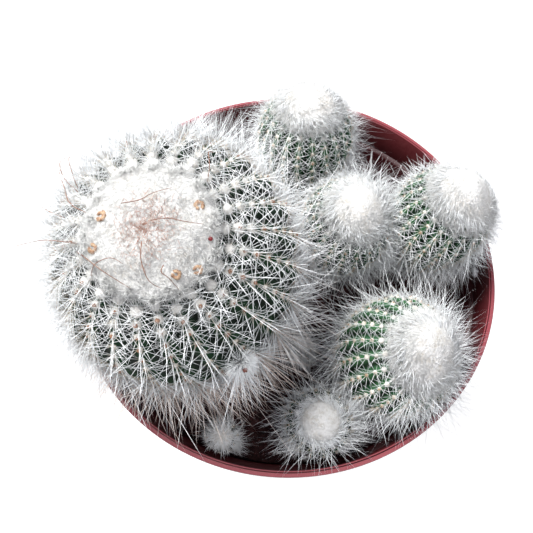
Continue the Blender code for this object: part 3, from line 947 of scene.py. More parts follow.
@dataclass
class Pot:
    """The pot: one turned wall with a rim band, lines along its top and drainage holes in its floor."""

    band_height: float = 13.0
    lip: float = 1.8
    ledge_depth: float = 11.0
    ledge_fall: float = 0.4
    groove: float = 0.5
    edge: float = 0.3
    fillet: float = 2.0
    steps: int = 160
    drains: int = 8
    drain_radius: float = 3.5
    drain_circle: float = 31.0

    def outside(self) -> list[tuple[float, float]]:
        """The outer half of the pot's outline.

        Returns:
            Radius and height of its points, from the axis below to the top's outer edge.
        """
        low, top = POT_HEIGHT - self.band_height, POT_HEIGHT
        points = [(0.0, 0.0), (wall_outer(0.0) - self.fillet, 0.0)]
        for k in range(1, 5):
            turn = math.radians(90.0 * k / 4)
            points.append((wall_outer(self.fillet) - self.fillet * (1 - math.sin(turn)),
                           self.fillet * (1 - math.cos(turn))))
        points += [(wall_outer(low - self.edge), low - self.edge), (wall_outer(low) + self.edge, low)]
        points += [(wall_outer(low) + RIM_BAND_STEP - self.edge, low)]
        points += [(wall_outer(low) + RIM_BAND_STEP, low + self.edge)]
        points += [(RIM_RADIUS, top - self.edge), (RIM_RADIUS - 0.3 * self.edge, top - 0.3 * self.edge)]
        return points + [(RIM_RADIUS - self.edge, top)]

    def inside(self) -> list[tuple[float, float]]:
        """The inner half of the pot's outline.

        Returns:
            Radius and height of its points, from the groove on top to the axis inside.
        """
        top, r = POT_HEIGHT, RIM_RADIUS
        ledge = top - self.ledge_depth
        low = ledge - self.ledge_fall
        points = [(r - 0.60 * self.lip, top), (r - 0.66 * self.lip, top - self.groove)]
        points += [(r - 0.76 * self.lip, top - self.groove), (r - 0.82 * self.lip, top)]
        points += [(r - self.lip + 0.1, top), (r - self.lip, top - 0.1)]
        points += [(wall_outer(ledge) + RIM_BAND_STEP - self.lip, ledge)]
        points += [(wall_inner(low) + self.ledge_fall, low + 0.05), (wall_inner(low), low - self.ledge_fall)]
        points += [(wall_inner(FLOOR + 1.5), FLOOR + 1.5), (wall_inner(FLOOR) - 1.2, FLOOR)]
        return points + [(0.0, FLOOR)]

    def build(self, finish: Finishes) -> None:
        """Turn the wall, pierce the floor and dress it.

        Args:
            finish: the materials.
        """
        bm = bmesh.new()
        verts = [bm.verts.new((r, 0.0, z)) for r, z in self.outside() + self.inside()]
        edges = [bm.edges.new(pair) for pair in zip(verts, verts[1:])]
        bmesh.ops.spin(bm, geom=verts + edges, cent=(0, 0, 0), axis=(0, 0, 1), angle=2 * math.pi,
                       steps=self.steps, use_merge=True)
        bmesh.ops.remove_doubles(bm, verts=bm.verts, dist=1e-4)
        bmesh.ops.recalc_face_normals(bm, faces=bm.faces)
        mesh = from_bmesh(bm)
        pot = mesh_object("pot_shell", mesh, finish.plastic, ("pot",))
        self.pierce(pot)
        self.mark_painted_light_and_shade(pot.data)
        pot.data.shade_smooth()
        pot.data.set_sharp_from_angle(angle=math.radians(35.0))

    def mark_painted_light_and_shade(self, mesh: bpy.types.Mesh) -> None:
        """Mark the rim's top for painted light and the inside for painted shade that darkens downwards.

        Args:
            mesh: the pot's mesh, in metres.
        """
        co = np.empty(len(mesh.vertices) * 3, np.float32)
        mesh.vertices.foreach_get("co", co)
        x, y, z = co.reshape(-1, 3).T / MM
        side = np.hypot(x, y)
        # The rim's top faces, which carry painted light.
        top = z > POT_HEIGHT - 0.15
        top &= side > RIM_RADIUS - self.lip + 0.05
        bound = np.where(z > POT_HEIGHT - self.ledge_depth - 0.1, wall_outer(z) + RIM_BAND_STEP - self.lip,
                         wall_inner(z) + self.ledge_fall)
        within = (side < bound + 0.12) & ~top & (z > FLOOR - 0.1)
        set_attribute(mesh, "rim", top)
        # Painted shade inside the pot: 40 % of the dark inner colour at the top, full from the ledge's depth
        # down.
        depth = np.clip((POT_HEIGHT - z) / self.ledge_depth, 0.0, 1.0)
        set_attribute(mesh, "inner", (0.4 + 0.6 * depth) * within)

    def pierce(self, pot: bpy.types.Object) -> None:
        """Cut the drainage holes.

        Args:
            pot: the pot.
        """
        bm = bmesh.new()
        for k in range(self.drains):
            a = 2 * math.pi * (k + 0.5) / self.drains
            x, y = self.drain_circle * math.cos(a), self.drain_circle * math.sin(a)
            place = Matrix.Translation((x, y, FLOOR / 2))
            bmesh.ops.create_cone(bm, cap_ends=True, segments=28, radius1=self.drain_radius,
                                  radius2=self.drain_radius, depth=4 * FLOOR, matrix=place)
        cutter = bpy.data.objects.new("drain_cutter", from_bmesh(bm))
        bpy.context.scene.collection.objects.link(cutter)
        mod = pot.modifiers.new("drains", "BOOLEAN")
        mod.operation, mod.object, mod.solver = "DIFFERENCE", cutter, "EXACT"
        bpy.context.view_layer.objects.active = pot
        bpy.ops.object.modifier_apply(modifier=mod.name)
        bpy.data.objects.remove(cutter, do_unlink=True)


@dataclass
class SoilBed:
    """The root ball with its crumbly surface."""

    relief: float = 0.8
    crumbs: int = 1500
    crumb_size: float = 0.9

    def height(self, x: Array, y: Array) -> Array:
        """Height of the uneven surface."""
        return SOIL_LEVEL + self.relief * ripple(0.21 * x, 0.19 * y, 0.0 * x)

    def build(self, finish: Finishes) -> None:
        """Shape the ball, strew the crumbs and dress both.

        Args:
            finish: the materials.
        """
        edge = SOIL_LEVEL - 1.0
        low = FLOOR + FIT_GAP
        bm = bmesh.new()
        bmesh.ops.create_circle(bm, cap_ends=False, segments=120, radius=1.0)
        bottom = bm.verts[:]
        rim = float(wall_inner(low)) - FIT_GAP
        bmesh.ops.scale(bm, vec=(rim, rim, 1.0), verts=bottom)
        bmesh.ops.translate(bm, vec=(0, 0, low), verts=bottom)
        bmesh.ops.contextual_create(bm, geom=bm.edges[:])
        top = bmesh.ops.extrude_edge_only(bm, edges=bm.edges[:])["geom"]
        ring = [g for g in top if isinstance(g, bmesh.types.BMVert)]
        grow = (float(wall_inner(edge)) - FIT_GAP) / rim
        bmesh.ops.scale(bm, vec=(grow, grow, 1.0), verts=ring)
        bmesh.ops.translate(bm, vec=(0, 0, edge - low), verts=ring)
        loop = [g for g in top if isinstance(g, bmesh.types.BMEdge)]
        for k in range(26):
            step = bmesh.ops.extrude_edge_only(bm, edges=loop)["geom"]
            ring = [g for g in step if isinstance(g, bmesh.types.BMVert)]
            loop = [g for g in step if isinstance(g, bmesh.types.BMEdge)]
            shrink = (1 - (k + 1) / 28) / (1 - k / 28)
            bmesh.ops.scale(bm, vec=(shrink, shrink, 1.0), verts=ring)
            for v in ring:
                x, y = v.co.x, v.co.y
                fine = 0.45 * ripple(np.array(1.3 * x), np.array(1.2 * y), np.array(2.0))
                v.co.z = float(self.height(np.array(x), np.array(y)) + fine)
        bmesh.ops.contextual_create(bm, geom=loop)
        bmesh.ops.recalc_face_normals(bm, faces=bm.faces)
        mesh_object("soil_ball", from_bmesh(bm), finish.peat, ("soil",))
        self.strew(finish)
        self.lay_grain(finish)

    def lay_grain(self, finish: Finishes) -> None:
        """Lay one pale grain on the ledge inside the rim, at the right.

        Args:
            finish: the materials.
        """
        rng = np.random.default_rng(SEED + 2)
        ball = ball_template(2)
        centres = np.array([[61.3, 0.2, 93.6], [61.1, -0.8, 93.2], [60.8, 0.9, 92.9]])
        lumps = rng.uniform(0.75, 1.2, (3, len(ball.points), 1)) * np.array([1.1, 0.8, 0.7])[:, None, None]
        mesh = copies_mesh(centres[:, None] + ball.points[None] * lumps, ball.faces)
        mesh_object("pale_grain", mesh, finish.grain)

    def strew(self, finish: Finishes) -> None:
        """Lay loose crumbs on the surface.

        Args:
            finish: the materials.
        """
        rng = np.random.default_rng(SEED + 1)
        ball = ball_template(1)
        reach = float(wall_inner(SOIL_LEVEL)) - 1.5
        r = reach * np.sqrt(rng.random(self.crumbs))
        a = rng.uniform(0, 2 * math.pi, self.crumbs)
        x, y = r * np.cos(a), r * np.sin(a)
        size = self.crumb_size * rng.uniform(0.4, 1.6, self.crumbs)
        jag = rng.uniform(0.6, 1.3, (self.crumbs, len(ball.points), 1))
        squash = rng.uniform(0.5, 1.0, (self.crumbs, 1, 3))
        centre = np.stack([x, y, self.height(x, y) + 0.3 * size], -1)
        points = centre[:, None, :] + ball.points[None] * jag * squash * size[:, None, None]
        mesh_object("soil_crumbs", copies_mesh(points, ball.faces), finish.peat)


@dataclass
class StemBody:
    """The ribbed skin of a stem."""

    form: StemForm
    around: int = 7
    down: int = 6

    def build(self, finish: Finishes) -> None:
        """Shape a ball into the ribbed stem and dress it.

        Args:
            finish: the materials.
        """
        form, size = self.form, self.form.size
        bm = bmesh.new()
        bmesh.ops.create_uvsphere(bm, u_segments=size.ribs * self.around, v_segments=size.rows * self.down,
                                  radius=1.0)
        co = np.array([v.co[:] for v in bm.verts])
        angle = np.arctan2(co[:, 1], co[:, 0])
        polar = np.arccos(np.clip(co[:, 2], -1, 1)) / math.pi
        foot_from = 0.95
        arc = np.clip(polar / foot_from, 0.0, 1.0) * form.total
        lift, crest = form.relief(arc, angle)
        points = form.place(arc, angle, lift)[0]
        under = np.clip((polar - foot_from) / (1 - foot_from), 0.0, 1.0)
        x, y = size.base
        foot_z = SOIL_LEVEL - NECK_DEPTH * np.clip(under * 2 - 0.4, 0, 1)
        radius = form.neck * np.clip((1 - under) * 2.5, 0, 1)
        neck = np.stack([x + radius * np.cos(angle), y + radius * np.sin(angle), foot_z], -1)
        points = np.where((under > 0.02)[:, None], neck, points)
        for v, p in zip(bm.verts, points):
            v.co = p
        mesh = from_bmesh(bm)
        # crest carries the painted shade of the skin's rib valleys.
        set_attribute(mesh, "crest", crest)
        set_attribute(mesh, "low", np.clip((arc / form.total - 0.72) / 0.28, 0.0, 1.0))
        set_attribute(mesh, "green", np.full(len(points), size.green))
        mesh_object("skin_" + size.name, mesh, finish.skin, ("stem_" + size.name,))


@dataclass
class Areoles:
    """Every areole of a stem: its point, its three ways, its share of the way down, and its heading."""

    point: Array
    normal: Array
    up: Array
    side: Array
    share: Array

    @classmethod
    def on(cls, form: StemForm) -> "Areoles":
        """Place the areoles along the ribs of a stem.

        Args:
            form: the stem.

        Returns:
            All of its areoles.
        """
        size = form.size
        rib, row = np.meshgrid(np.arange(size.ribs), np.arange(size.rows), indexing="ij")
        rib, row = rib.ravel(), row.ravel()
        arc = form.row_arc(rib, row)
        angle = form.rib_angle(rib, arc)
        lift = form.relief(arc, angle)[0]
        return cls(*form.place(arc, angle, lift), (arc - form.first) / (form.last - form.first))

    def picked(self, mask: Array) -> "Areoles":
        """The areoles that a mask keeps."""
        return Areoles(*(getattr(self, key)[mask] for key in ("point", "normal", "up", "side", "share")))

    def __len__(self) -> int:
        """How many there are."""
        return len(self.point)


@dataclass(frozen=True)
class Fan:
    """A way to set spines round an areole: an aim of 0 is towards the tip and one of 180 towards the soil."""

    each: int
    lean: float
    spread: float
    length: float
    radius: float
    aim: float = 0.0
    width: float = 180.0
    uneven: float = 0.15
    longer_below: float = 0.0
    droop: float = 0.0
    wave: float = 0.05
    offset: float = 0.3

    def grow(self, spots: Areoles, rng: np.random.Generator) -> Fibres:
        """Grow the spines.

        Args:
            spots: the areoles.
            rng: the source of the small differences.

        Returns:
            The spines of all areoles.
        """
        n, each = len(spots), self.each
        even = (np.arange(each)[None] + rng.uniform(-0.45, 0.45, (n, each))) / each
        turn = math.radians(self.aim) + math.radians(2 * self.width) * (even - 0.5)
        if self.width >= 180.0:
            turn = turn + rng.uniform(0, 2 * math.pi, (n, 1))
        tilt = np.radians(self.lean + rng.normal(0, self.spread, (n, each)))
        flat = np.cos(turn)[..., None] * spots.up[:, None] + np.sin(turn)[..., None] * spots.side[:, None]
        way = unit(np.cos(tilt)[..., None] * spots.normal[:, None] + np.sin(tilt)[..., None] * flat)
        long = self.length * (1 - self.longer_below * np.cos(turn)) * rng.normal(1.0, self.uneven, (n, each))
        long = np.clip(long, 0.35 * self.length, 1.6 * self.length)
        bend = long[..., None] * (self.wave * rng.normal(0, 1, (n, each, 3)) - self.droop * UP)
        root = spots.point[:, None] + self.offset * flat
        total = n * each
        return Fibres(root.reshape(total, 3), way.reshape(total, 3), long.ravel(),
                      self.radius * rng.uniform(0.8, 1.2, total), bend.reshape(total, 3), rng.random(total))


@dataclass
class SpineCoat:
    """The spines of a stem: white stars, a few that stand out, fine hairs, and long ones that droop below."""

    form: StemForm

    @property
    def main(self) -> bool:
        """Whether this is the main stem."""
        return self.form.size.name == "main"

    def build(self, finish: Finishes, rng: np.random.Generator) -> None:
        """Set the spines, hairs and pads and dress them.

        Args:
            finish: the materials.
            rng: the source of the small differences.
        """
        name, coat = self.form.size.name, self.form.size.coat
        spots = Areoles.on(self.form)
        shaggy = spots.normal[:, :2] @ unit(np.array(self.form.size.shaggy))
        stars = self.stars(spots, rng).mesh(needle_template(1))
        mesh_object("spines_" + name, stars, finish.spine)
        wild = spots.picked((shaggy > coat.wild) & (spots.share < 0.8))
        mesh_object("hairs_" + name, self.hairs(wild, rng).mesh(needle_template(1)), finish.spine)
        hazy = (shaggy > (-0.1 if self.main else 0.2)) & (spots.share > 0.14) & (spots.share < 0.85)
        haze = self.halo(spots.picked(hazy), rng)
        mesh_object("halo_" + name, haze.mesh(needle_template(0)), finish.spine)
        long = self.long_hairs(spots, shaggy, rng).mesh(needle_template(2))
        mesh_object("long_hairs_" + name, long, finish.beard if self.main else finish.spine)
        self.pads(spots, finish, rng)

    def stars(self, spots: Areoles, rng: np.random.Generator) -> Fibres:
        """Grow the white star of each areole and the few spines that stand out of it.

        Args:
            spots: the areoles.
            rng: the source of the small differences.

        Returns:
            The spines.
        """
        coat = self.form.size.coat
        radials = Fan(coat.radials, 68.0, 7.0, coat.radial, coat.thickness, longer_below=0.12, wave=0.01)
        centrals = Fan(coat.centrals, 34.0, 13.0, coat.central, coat.thickness, longer_below=0.2, droop=0.03,
                       wave=0.015)
        return Fibres.joined([radials.grow(spots, rng), centrals.grow(spots, rng)]).clear_of_pot()

    def hairs(self, spots: Areoles, rng: np.random.Generator) -> Fibres:
        """Grow the fine hairs of the shaggy side.

        Args:
            spots: the areoles of that side.
            rng: the source of the small differences.

        Returns:
            The hairs.
        """
        coat = self.form.size.coat
        lean = 70.0 if coat.wild < 0.0 else 52.0
        radius = coat.thickness * (0.5 if self.main else 0.95)
        fan = Fan(coat.hairs, lean, 14.0, coat.hair, radius, aim=180.0, width=80.0, droop=0.04, wave=0.03,
                  uneven=0.25, offset=1.2 if self.main else 0.3)
        return fan.grow(spots, rng).drawn(coat.comb).clear_of_pot()

    def halo(self, spots: Areoles, rng: np.random.Generator) -> Fibres:
        """Grow the finest straight hairs, a haze on the shaggy side.

        Args:
            spots: the areoles of that side.
            rng: the source of the small differences.

        Returns:
            The hairs.
        """
        fan = Fan(22 if self.main else 6, 40.0, 20.0, 1.25 * self.form.size.coat.hair, 0.042, uneven=0.2,
                  offset=2.2 if self.main else 0.8)
        return fan.grow(spots, rng).clear_of_pot()

    def long_hairs(self, spots: Areoles, shaggy: Array, rng: np.random.Generator) -> Fibres:
        """Grow the long hairs of the lower half: drooping, standing in a skirt, or stiff and crisp.

        Args:
            spots: the areoles.
            shaggy: how far each faces the shaggy side.
            rng: the source of the small differences.

        Returns:
            The hairs.
        """
        coat = self.form.size.coat
        share, front = spots.share, -spots.normal[:, 1]
        droops = Fan(coat.drooping, 50.0, 14.0, coat.droop, coat.thickness * 0.8, aim=180.0, width=50.0,
                     droop=0.2, wave=0.03, uneven=0.28)
        skirt = Fan(5 if self.main else 3, 34.0, 18.0, 0.85 * coat.droop, coat.thickness * 0.85, droop=0.06,
                    wave=0.03, uneven=0.25)
        bristle = Fan(2, 52.0, 12.0, 0.95 * coat.droop, coat.thickness * (0.9 if self.main else 1.1),
                      aim=180.0, width=75.0, droop=0.03, wave=0.03, uneven=0.25)
        low = (share > 0.4) & ((shaggy > 0.0) | (share > 0.62))
        nested = (share > 0.5) & (share < 0.92)
        if self.main:
            low = share > 0.5 + 0.16 * (spots.normal[:, 0] > 0.2)
            nested &= shaggy < 0.0
        groups = [droops.grow(spots.picked(low & (share < 0.95)), rng)]
        if self.main:
            beard = Fan(11, 60.0, 13.0, 15.0, coat.thickness * 0.8, aim=180.0, width=45.0, droop=0.12,
                        wave=0.05, uneven=0.3)
            groups.append(beard.grow(spots.picked((share > 0.58) & (front > 0.1)), rng))
        nest = skirt.grow(spots.picked(nested), rng)
        crisp = bristle.grow(spots.picked((share > 0.36) & (share < 0.9)), rng)
        if self.main:
            over_rim = Fan(3, 38.0, 14.0, 19.0, coat.thickness * 0.7, aim=180.0, width=75.0, droop=0.08,
                           wave=0.04, uneven=0.25)
            outer = spots.picked((front > 0.3) & (share > 0.55) & (share < 0.85))
            nest = Fibres.joined([nest, over_rim.grow(outer, rng)])
        nest.tone = 0.3 + 0.7 * nest.tone
        # Painted light: the crisp bristles on top are held near the white shaft colour, brighter than the
        # hairs under them.
        crisp.tone = 0.9 + 0.1 * crisp.tone
        long = Fibres.joined(groups + [nest, crisp]).clear_of_pot()
        return self.warmed(long) if self.main else long

    @staticmethod
    def warmed(long: Fibres) -> Fibres:
        """Tone the hairs beige low at the front and white elsewhere.

        Args:
            long: the hairs of the main stem.

        Returns:
            The same hairs with new tones.
        """
        front = np.clip((-long.root[:, 1] - 18.0) / 16.0, 0.0, 1.0)
        front = front * np.clip((128.0 - long.root[:, 2]) / 20.0, 0.0, 1.0)
        return replace(long, tone=np.clip(long.tone + 0.35 - 1.05 * front, 0.0, 1.0))

    def pads(self, spots: Areoles, finish: Finishes, rng: np.random.Generator) -> None:
        """Set the woolly pads that the spines grow from, with their brown eyes and their fluff.

        Args:
            spots: the areoles.
            finish: the materials.
            rng: the source of the small differences.
        """
        size = self.form.size
        n = len(spots)
        age = np.clip(spots.share / 0.3, 0.0, 1.0)
        young = (1.35 if self.main else 0.4) * np.clip(1 - spots.share / 0.16, 0.0, 1.0)
        scale = size.coat.pad * (1 + young) * rng.uniform(0.8, 1.2, n)
        ball = ball_template(1)
        jag = rng.uniform(0.85, 1.15, (n, len(ball.points), 1))
        x, y, z = (ball.points[None, :, k:k + 1] * jag for k in range(3))
        s = scale[:, None, None]
        points = spots.point[:, None] + s * (x * spots.side[:, None] + y * spots.up[:, None]
                                             + 0.7 * z * spots.normal[:, None])
        mesh = copies_mesh(points, ball.faces)
        set_attribute(mesh, "tone", np.repeat(age * rng.uniform(0.3, 1.0, n), len(ball.points)))
        mesh_object("pads_" + size.name, mesh, finish.pad)
        front = (spots.normal[:, 1] < -0.1) & (age > 0.1) & self.main
        aged = ((age > 0.5) | front) & (rng.random(n) < 0.85)
        eyes = spots.picked(aged)
        wide = (0.62 if self.main else 0.52) * (size.coat.pad + 0.35 * (scale - size.coat.pad))
        wide = wide[aged][:, None, None]
        wide = wide * rng.uniform(0.6, 1.3, (len(eyes), 1, 1))
        x, y, z = (ball.points[None, :, k:k + 1] for k in range(3))
        centre = eyes.point + (0.7 * scale[aged][:, None] - 0.2 * wide[:, 0]) * eyes.normal
        points = centre[:, None] + wide * (x * eyes.side[:, None] + y * eyes.up[:, None]
                                           + z * eyes.normal[:, None])
        colour = finish.eye if self.main else finish.tan_eye
        mesh_object("eyes_" + size.name, copies_mesh(points, ball.faces), colour)
        fluff = Fan(4, 48.0, 22.0, 1.5 * size.coat.pad, 0.06, wave=0.2, uneven=0.25, offset=0.15)
        pompom = Fan(95, 55.0, 30.0, 3.4 * size.coat.pad, 0.055, wave=0.2, uneven=0.25, offset=0.1)
        tufts = [fluff.grow(spots, rng), pompom.grow(spots.picked(spots.share < 0.1), rng)]
        fluffy = Fibres.joined(tufts).mesh(needle_template(0))
        mesh_object("fluff_" + size.name, fluffy, finish.wool)


@dataclass
class WoolCrown:
    """The woolly crown: a felted cushion under a coat of fine fibres."""

    form: StemForm

    @property
    def main(self) -> bool:
        """Whether this is the main stem's crown."""
        return self.form.size.name == "main"

    @property
    def broad(self) -> bool:
        """Whether the wool spreads past its cushion in a broad whirl, as on the larger offsets."""
        return 0.5 < self.form.size.coat.whirl < 1.2

    @property
    def reach(self) -> float:
        """How far the cushion reaches, as a share of its plain size: the main one leaves room for pompoms."""
        return 0.95 if self.main else 0.99

    def rise(self, share: Array, angle: Array) -> Array:
        """Height of the wool over the skin.

        Args:
            share: shares of the way from the tip to the cushion's edge.
            angle: angles about the core.

        Returns:
            The heights, which fall past the edge.
        """
        size = self.form.size
        dome = np.sqrt(np.clip(1 - (0.92 * share) ** 2, 0.0, 1.0))
        x, y = size.wool * share * np.cos(angle), size.wool * share * np.sin(angle)
        lumps = 0.07 * ripple(0.25 * x, 0.25 * y, size.radius + 0 * share)
        lumps = lumps + 0.03 * ripple(0.9 * x, 0.9 * y, 0 * share)
        swell = (0.54, 0.20) if self.broad else (0.5, 0.28)
        drape = 1 - 2.2 * np.clip(share - 0.98, 0.0, 0.35)
        return FIT_GAP + size.wool_height * drape * (swell[0] + swell[1] * dome + lumps)

    def build(self, finish: Finishes, rng: np.random.Generator) -> None:
        """Shape the cushion, lay the fibres over it and dress both.

        Args:
            finish: the materials.
            rng: the source of the small differences.
        """
        form, size, main = self.form, self.form.size, self.main
        bm = bmesh.new()
        bmesh.ops.create_uvsphere(bm, u_segments=96 if main else 60, v_segments=36 if main else 20,
                                  radius=1.0)
        co = np.array([v.co[:] for v in bm.verts])
        angle = np.arctan2(co[:, 1], co[:, 0])
        polar = np.arccos(np.clip(co[:, 2], -1, 1)) / (math.pi / 2)
        over = polar <= 1.0
        share = np.where(over, polar, 2.0 - polar)
        lift = np.where(over, self.rise(share, angle), 0.2)
        points = form.place(share * form.wool_arc * self.reach, angle, lift)[0]
        for v, p in zip(bm.verts, points):
            v.co = p
        bmesh.ops.recalc_face_normals(bm, faces=bm.faces)
        felt = from_bmesh(bm)
        mesh_object("wool_felt_" + size.name, felt, finish.felt, ("wool_" + size.name,))
        lay = self.matted(rng) if main else self.combed(rng).drawn(size.coat.comb)
        mesh_object("wool_fibres_" + size.name, lay.mesh(needle_template(0)), finish.wool)
        fringe = self.fringe(rng).mesh(needle_template(1))
        mesh_object("wool_fringe_" + size.name, fringe, finish.wool if main else finish.spine)
        fuzz = self.fuzz(2300 if main else int(14 * size.wool), rng).mesh(needle_template(2))
        mesh_object("crown_fuzz_" + size.name, fuzz, finish.fuzz if main else finish.spine)

    def scattered(self, count: int, rng: np.random.Generator, crowd: float = 0.5) -> tuple[Array, ...]:
        """Spread places over the wool.

        Args:
            count: how many.
            rng: the source of the places.
            crowd: 0.5 for an even spread, more for a crowded middle.

        Returns:
            The points, normals, ways up, ways aside and shares of the way out.
        """
        share = rng.random(count) ** crowd
        angle = rng.uniform(0, 2 * math.pi, count)
        lift = self.rise(share, angle) - 0.2
        wide = 1.27 if self.broad else self.reach + 0.04
        return (*self.form.place(share * self.form.wool_arc * wide, angle, lift), share)

    def matted(self, rng: np.random.Generator) -> Fibres:
        """Short fibres that lie every way.

        Args:
            rng: the source of the small differences.

        Returns:
            The fibres.
        """
        n = int(80 * self.form.size.wool ** 2)
        root, normal, up, side, share = self.scattered(n, rng)
        turn = rng.uniform(0, 2 * math.pi, n)
        flat = np.cos(turn)[:, None] * up + np.sin(turn)[:, None] * side
        way = unit(flat + rng.uniform(0.0, 0.3, n)[:, None] * normal)
        long = rng.uniform(1.2, 3.2, n)
        return Fibres(root, way, long, np.full(n, 0.05), np.zeros((n, 3)), rng.random(n))

    def fringe(self, rng: np.random.Generator) -> Fibres:
        """Longer fibres at the cushion's edge that run out between the first spines.

        Args:
            rng: the source of the small differences.

        Returns:
            The fibres.
        """
        size = self.form.size
        n = int((40 if self.main else 105) * size.wool)
        angle = rng.uniform(0, 2 * math.pi, n)
        share = rng.uniform(size.coat.bare + (0.15 if self.broad else 0.0), 1.2, n)
        arc = share * self.form.wool_arc * self.reach
        root, normal, up, side = self.form.place(arc, angle, self.rise(share, angle) - 0.3)
        swing = 0.7 * size.coat.whirl + rng.normal(0, 0.4, n)
        flat = -np.cos(swing)[:, None] * up + np.sin(swing)[:, None] * side
        way = unit(flat + rng.uniform(0.05, 0.4, n)[:, None] * normal)
        long = (2.0 if self.main else 4.4) * rng.uniform(0.4, 1.2, n)
        bend = long[:, None] * (0.08 * rng.normal(0, 1, (n, 3)) - 0.12 * normal)
        return Fibres(root, way, long, np.full(n, 0.055 if self.main else 0.075), bend, rng.random(n))

    def fuzz(self, count: int, rng: np.random.Generator) -> Fibres:
        """Fuzz over the middle.

        Args:
            count: how many hairs are tried.
            rng: the source of the small differences.

        Returns:
            The hairs.
        """
        root, normal, up, side, share = self.scattered(count, rng, crowd=0.8)
        turn = rng.uniform(0, 2 * math.pi, count)
        way = unit(np.cos(turn)[:, None] * up + np.sin(turn)[:, None] * side + 0.35 * normal)
        long = rng.uniform(0.8, 2.4, count)
        bend = long[:, None] * 0.2 * rng.normal(0, 1, (count, 3))
        every = Fibres(root, way, long, np.full(count, 0.055), bend, rng.random(count))
        return every.picked(share < 0.5 * rng.uniform(0.6, 1.1, count))

    def combed(self, rng: np.random.Generator) -> Fibres:
        """Fibres that run outwards in a slow whirl.

        Args:
            rng: the source of the small differences.

        Returns:
            The fibres.
        """
        size = self.form.size
        n = int(85 * size.wool ** 2)
        root, normal, up, side, share = self.scattered(n, rng)
        swing = size.coat.whirl * (1.25 - 0.6 * share) + rng.normal(0, 0.3, n)
        flat = -np.cos(swing)[:, None] * up + np.sin(swing)[:, None] * side
        way = unit(flat + (rng.uniform(0.0, 0.14, n) + 0.05 * share)[:, None] * normal)
        long = (0.9 + 0.20 * size.wool) * rng.uniform(0.7, 1.2, n)
        return Fibres(root, way, long, np.full(n, 0.05), np.zeros((n, 3)), rng.random(n))


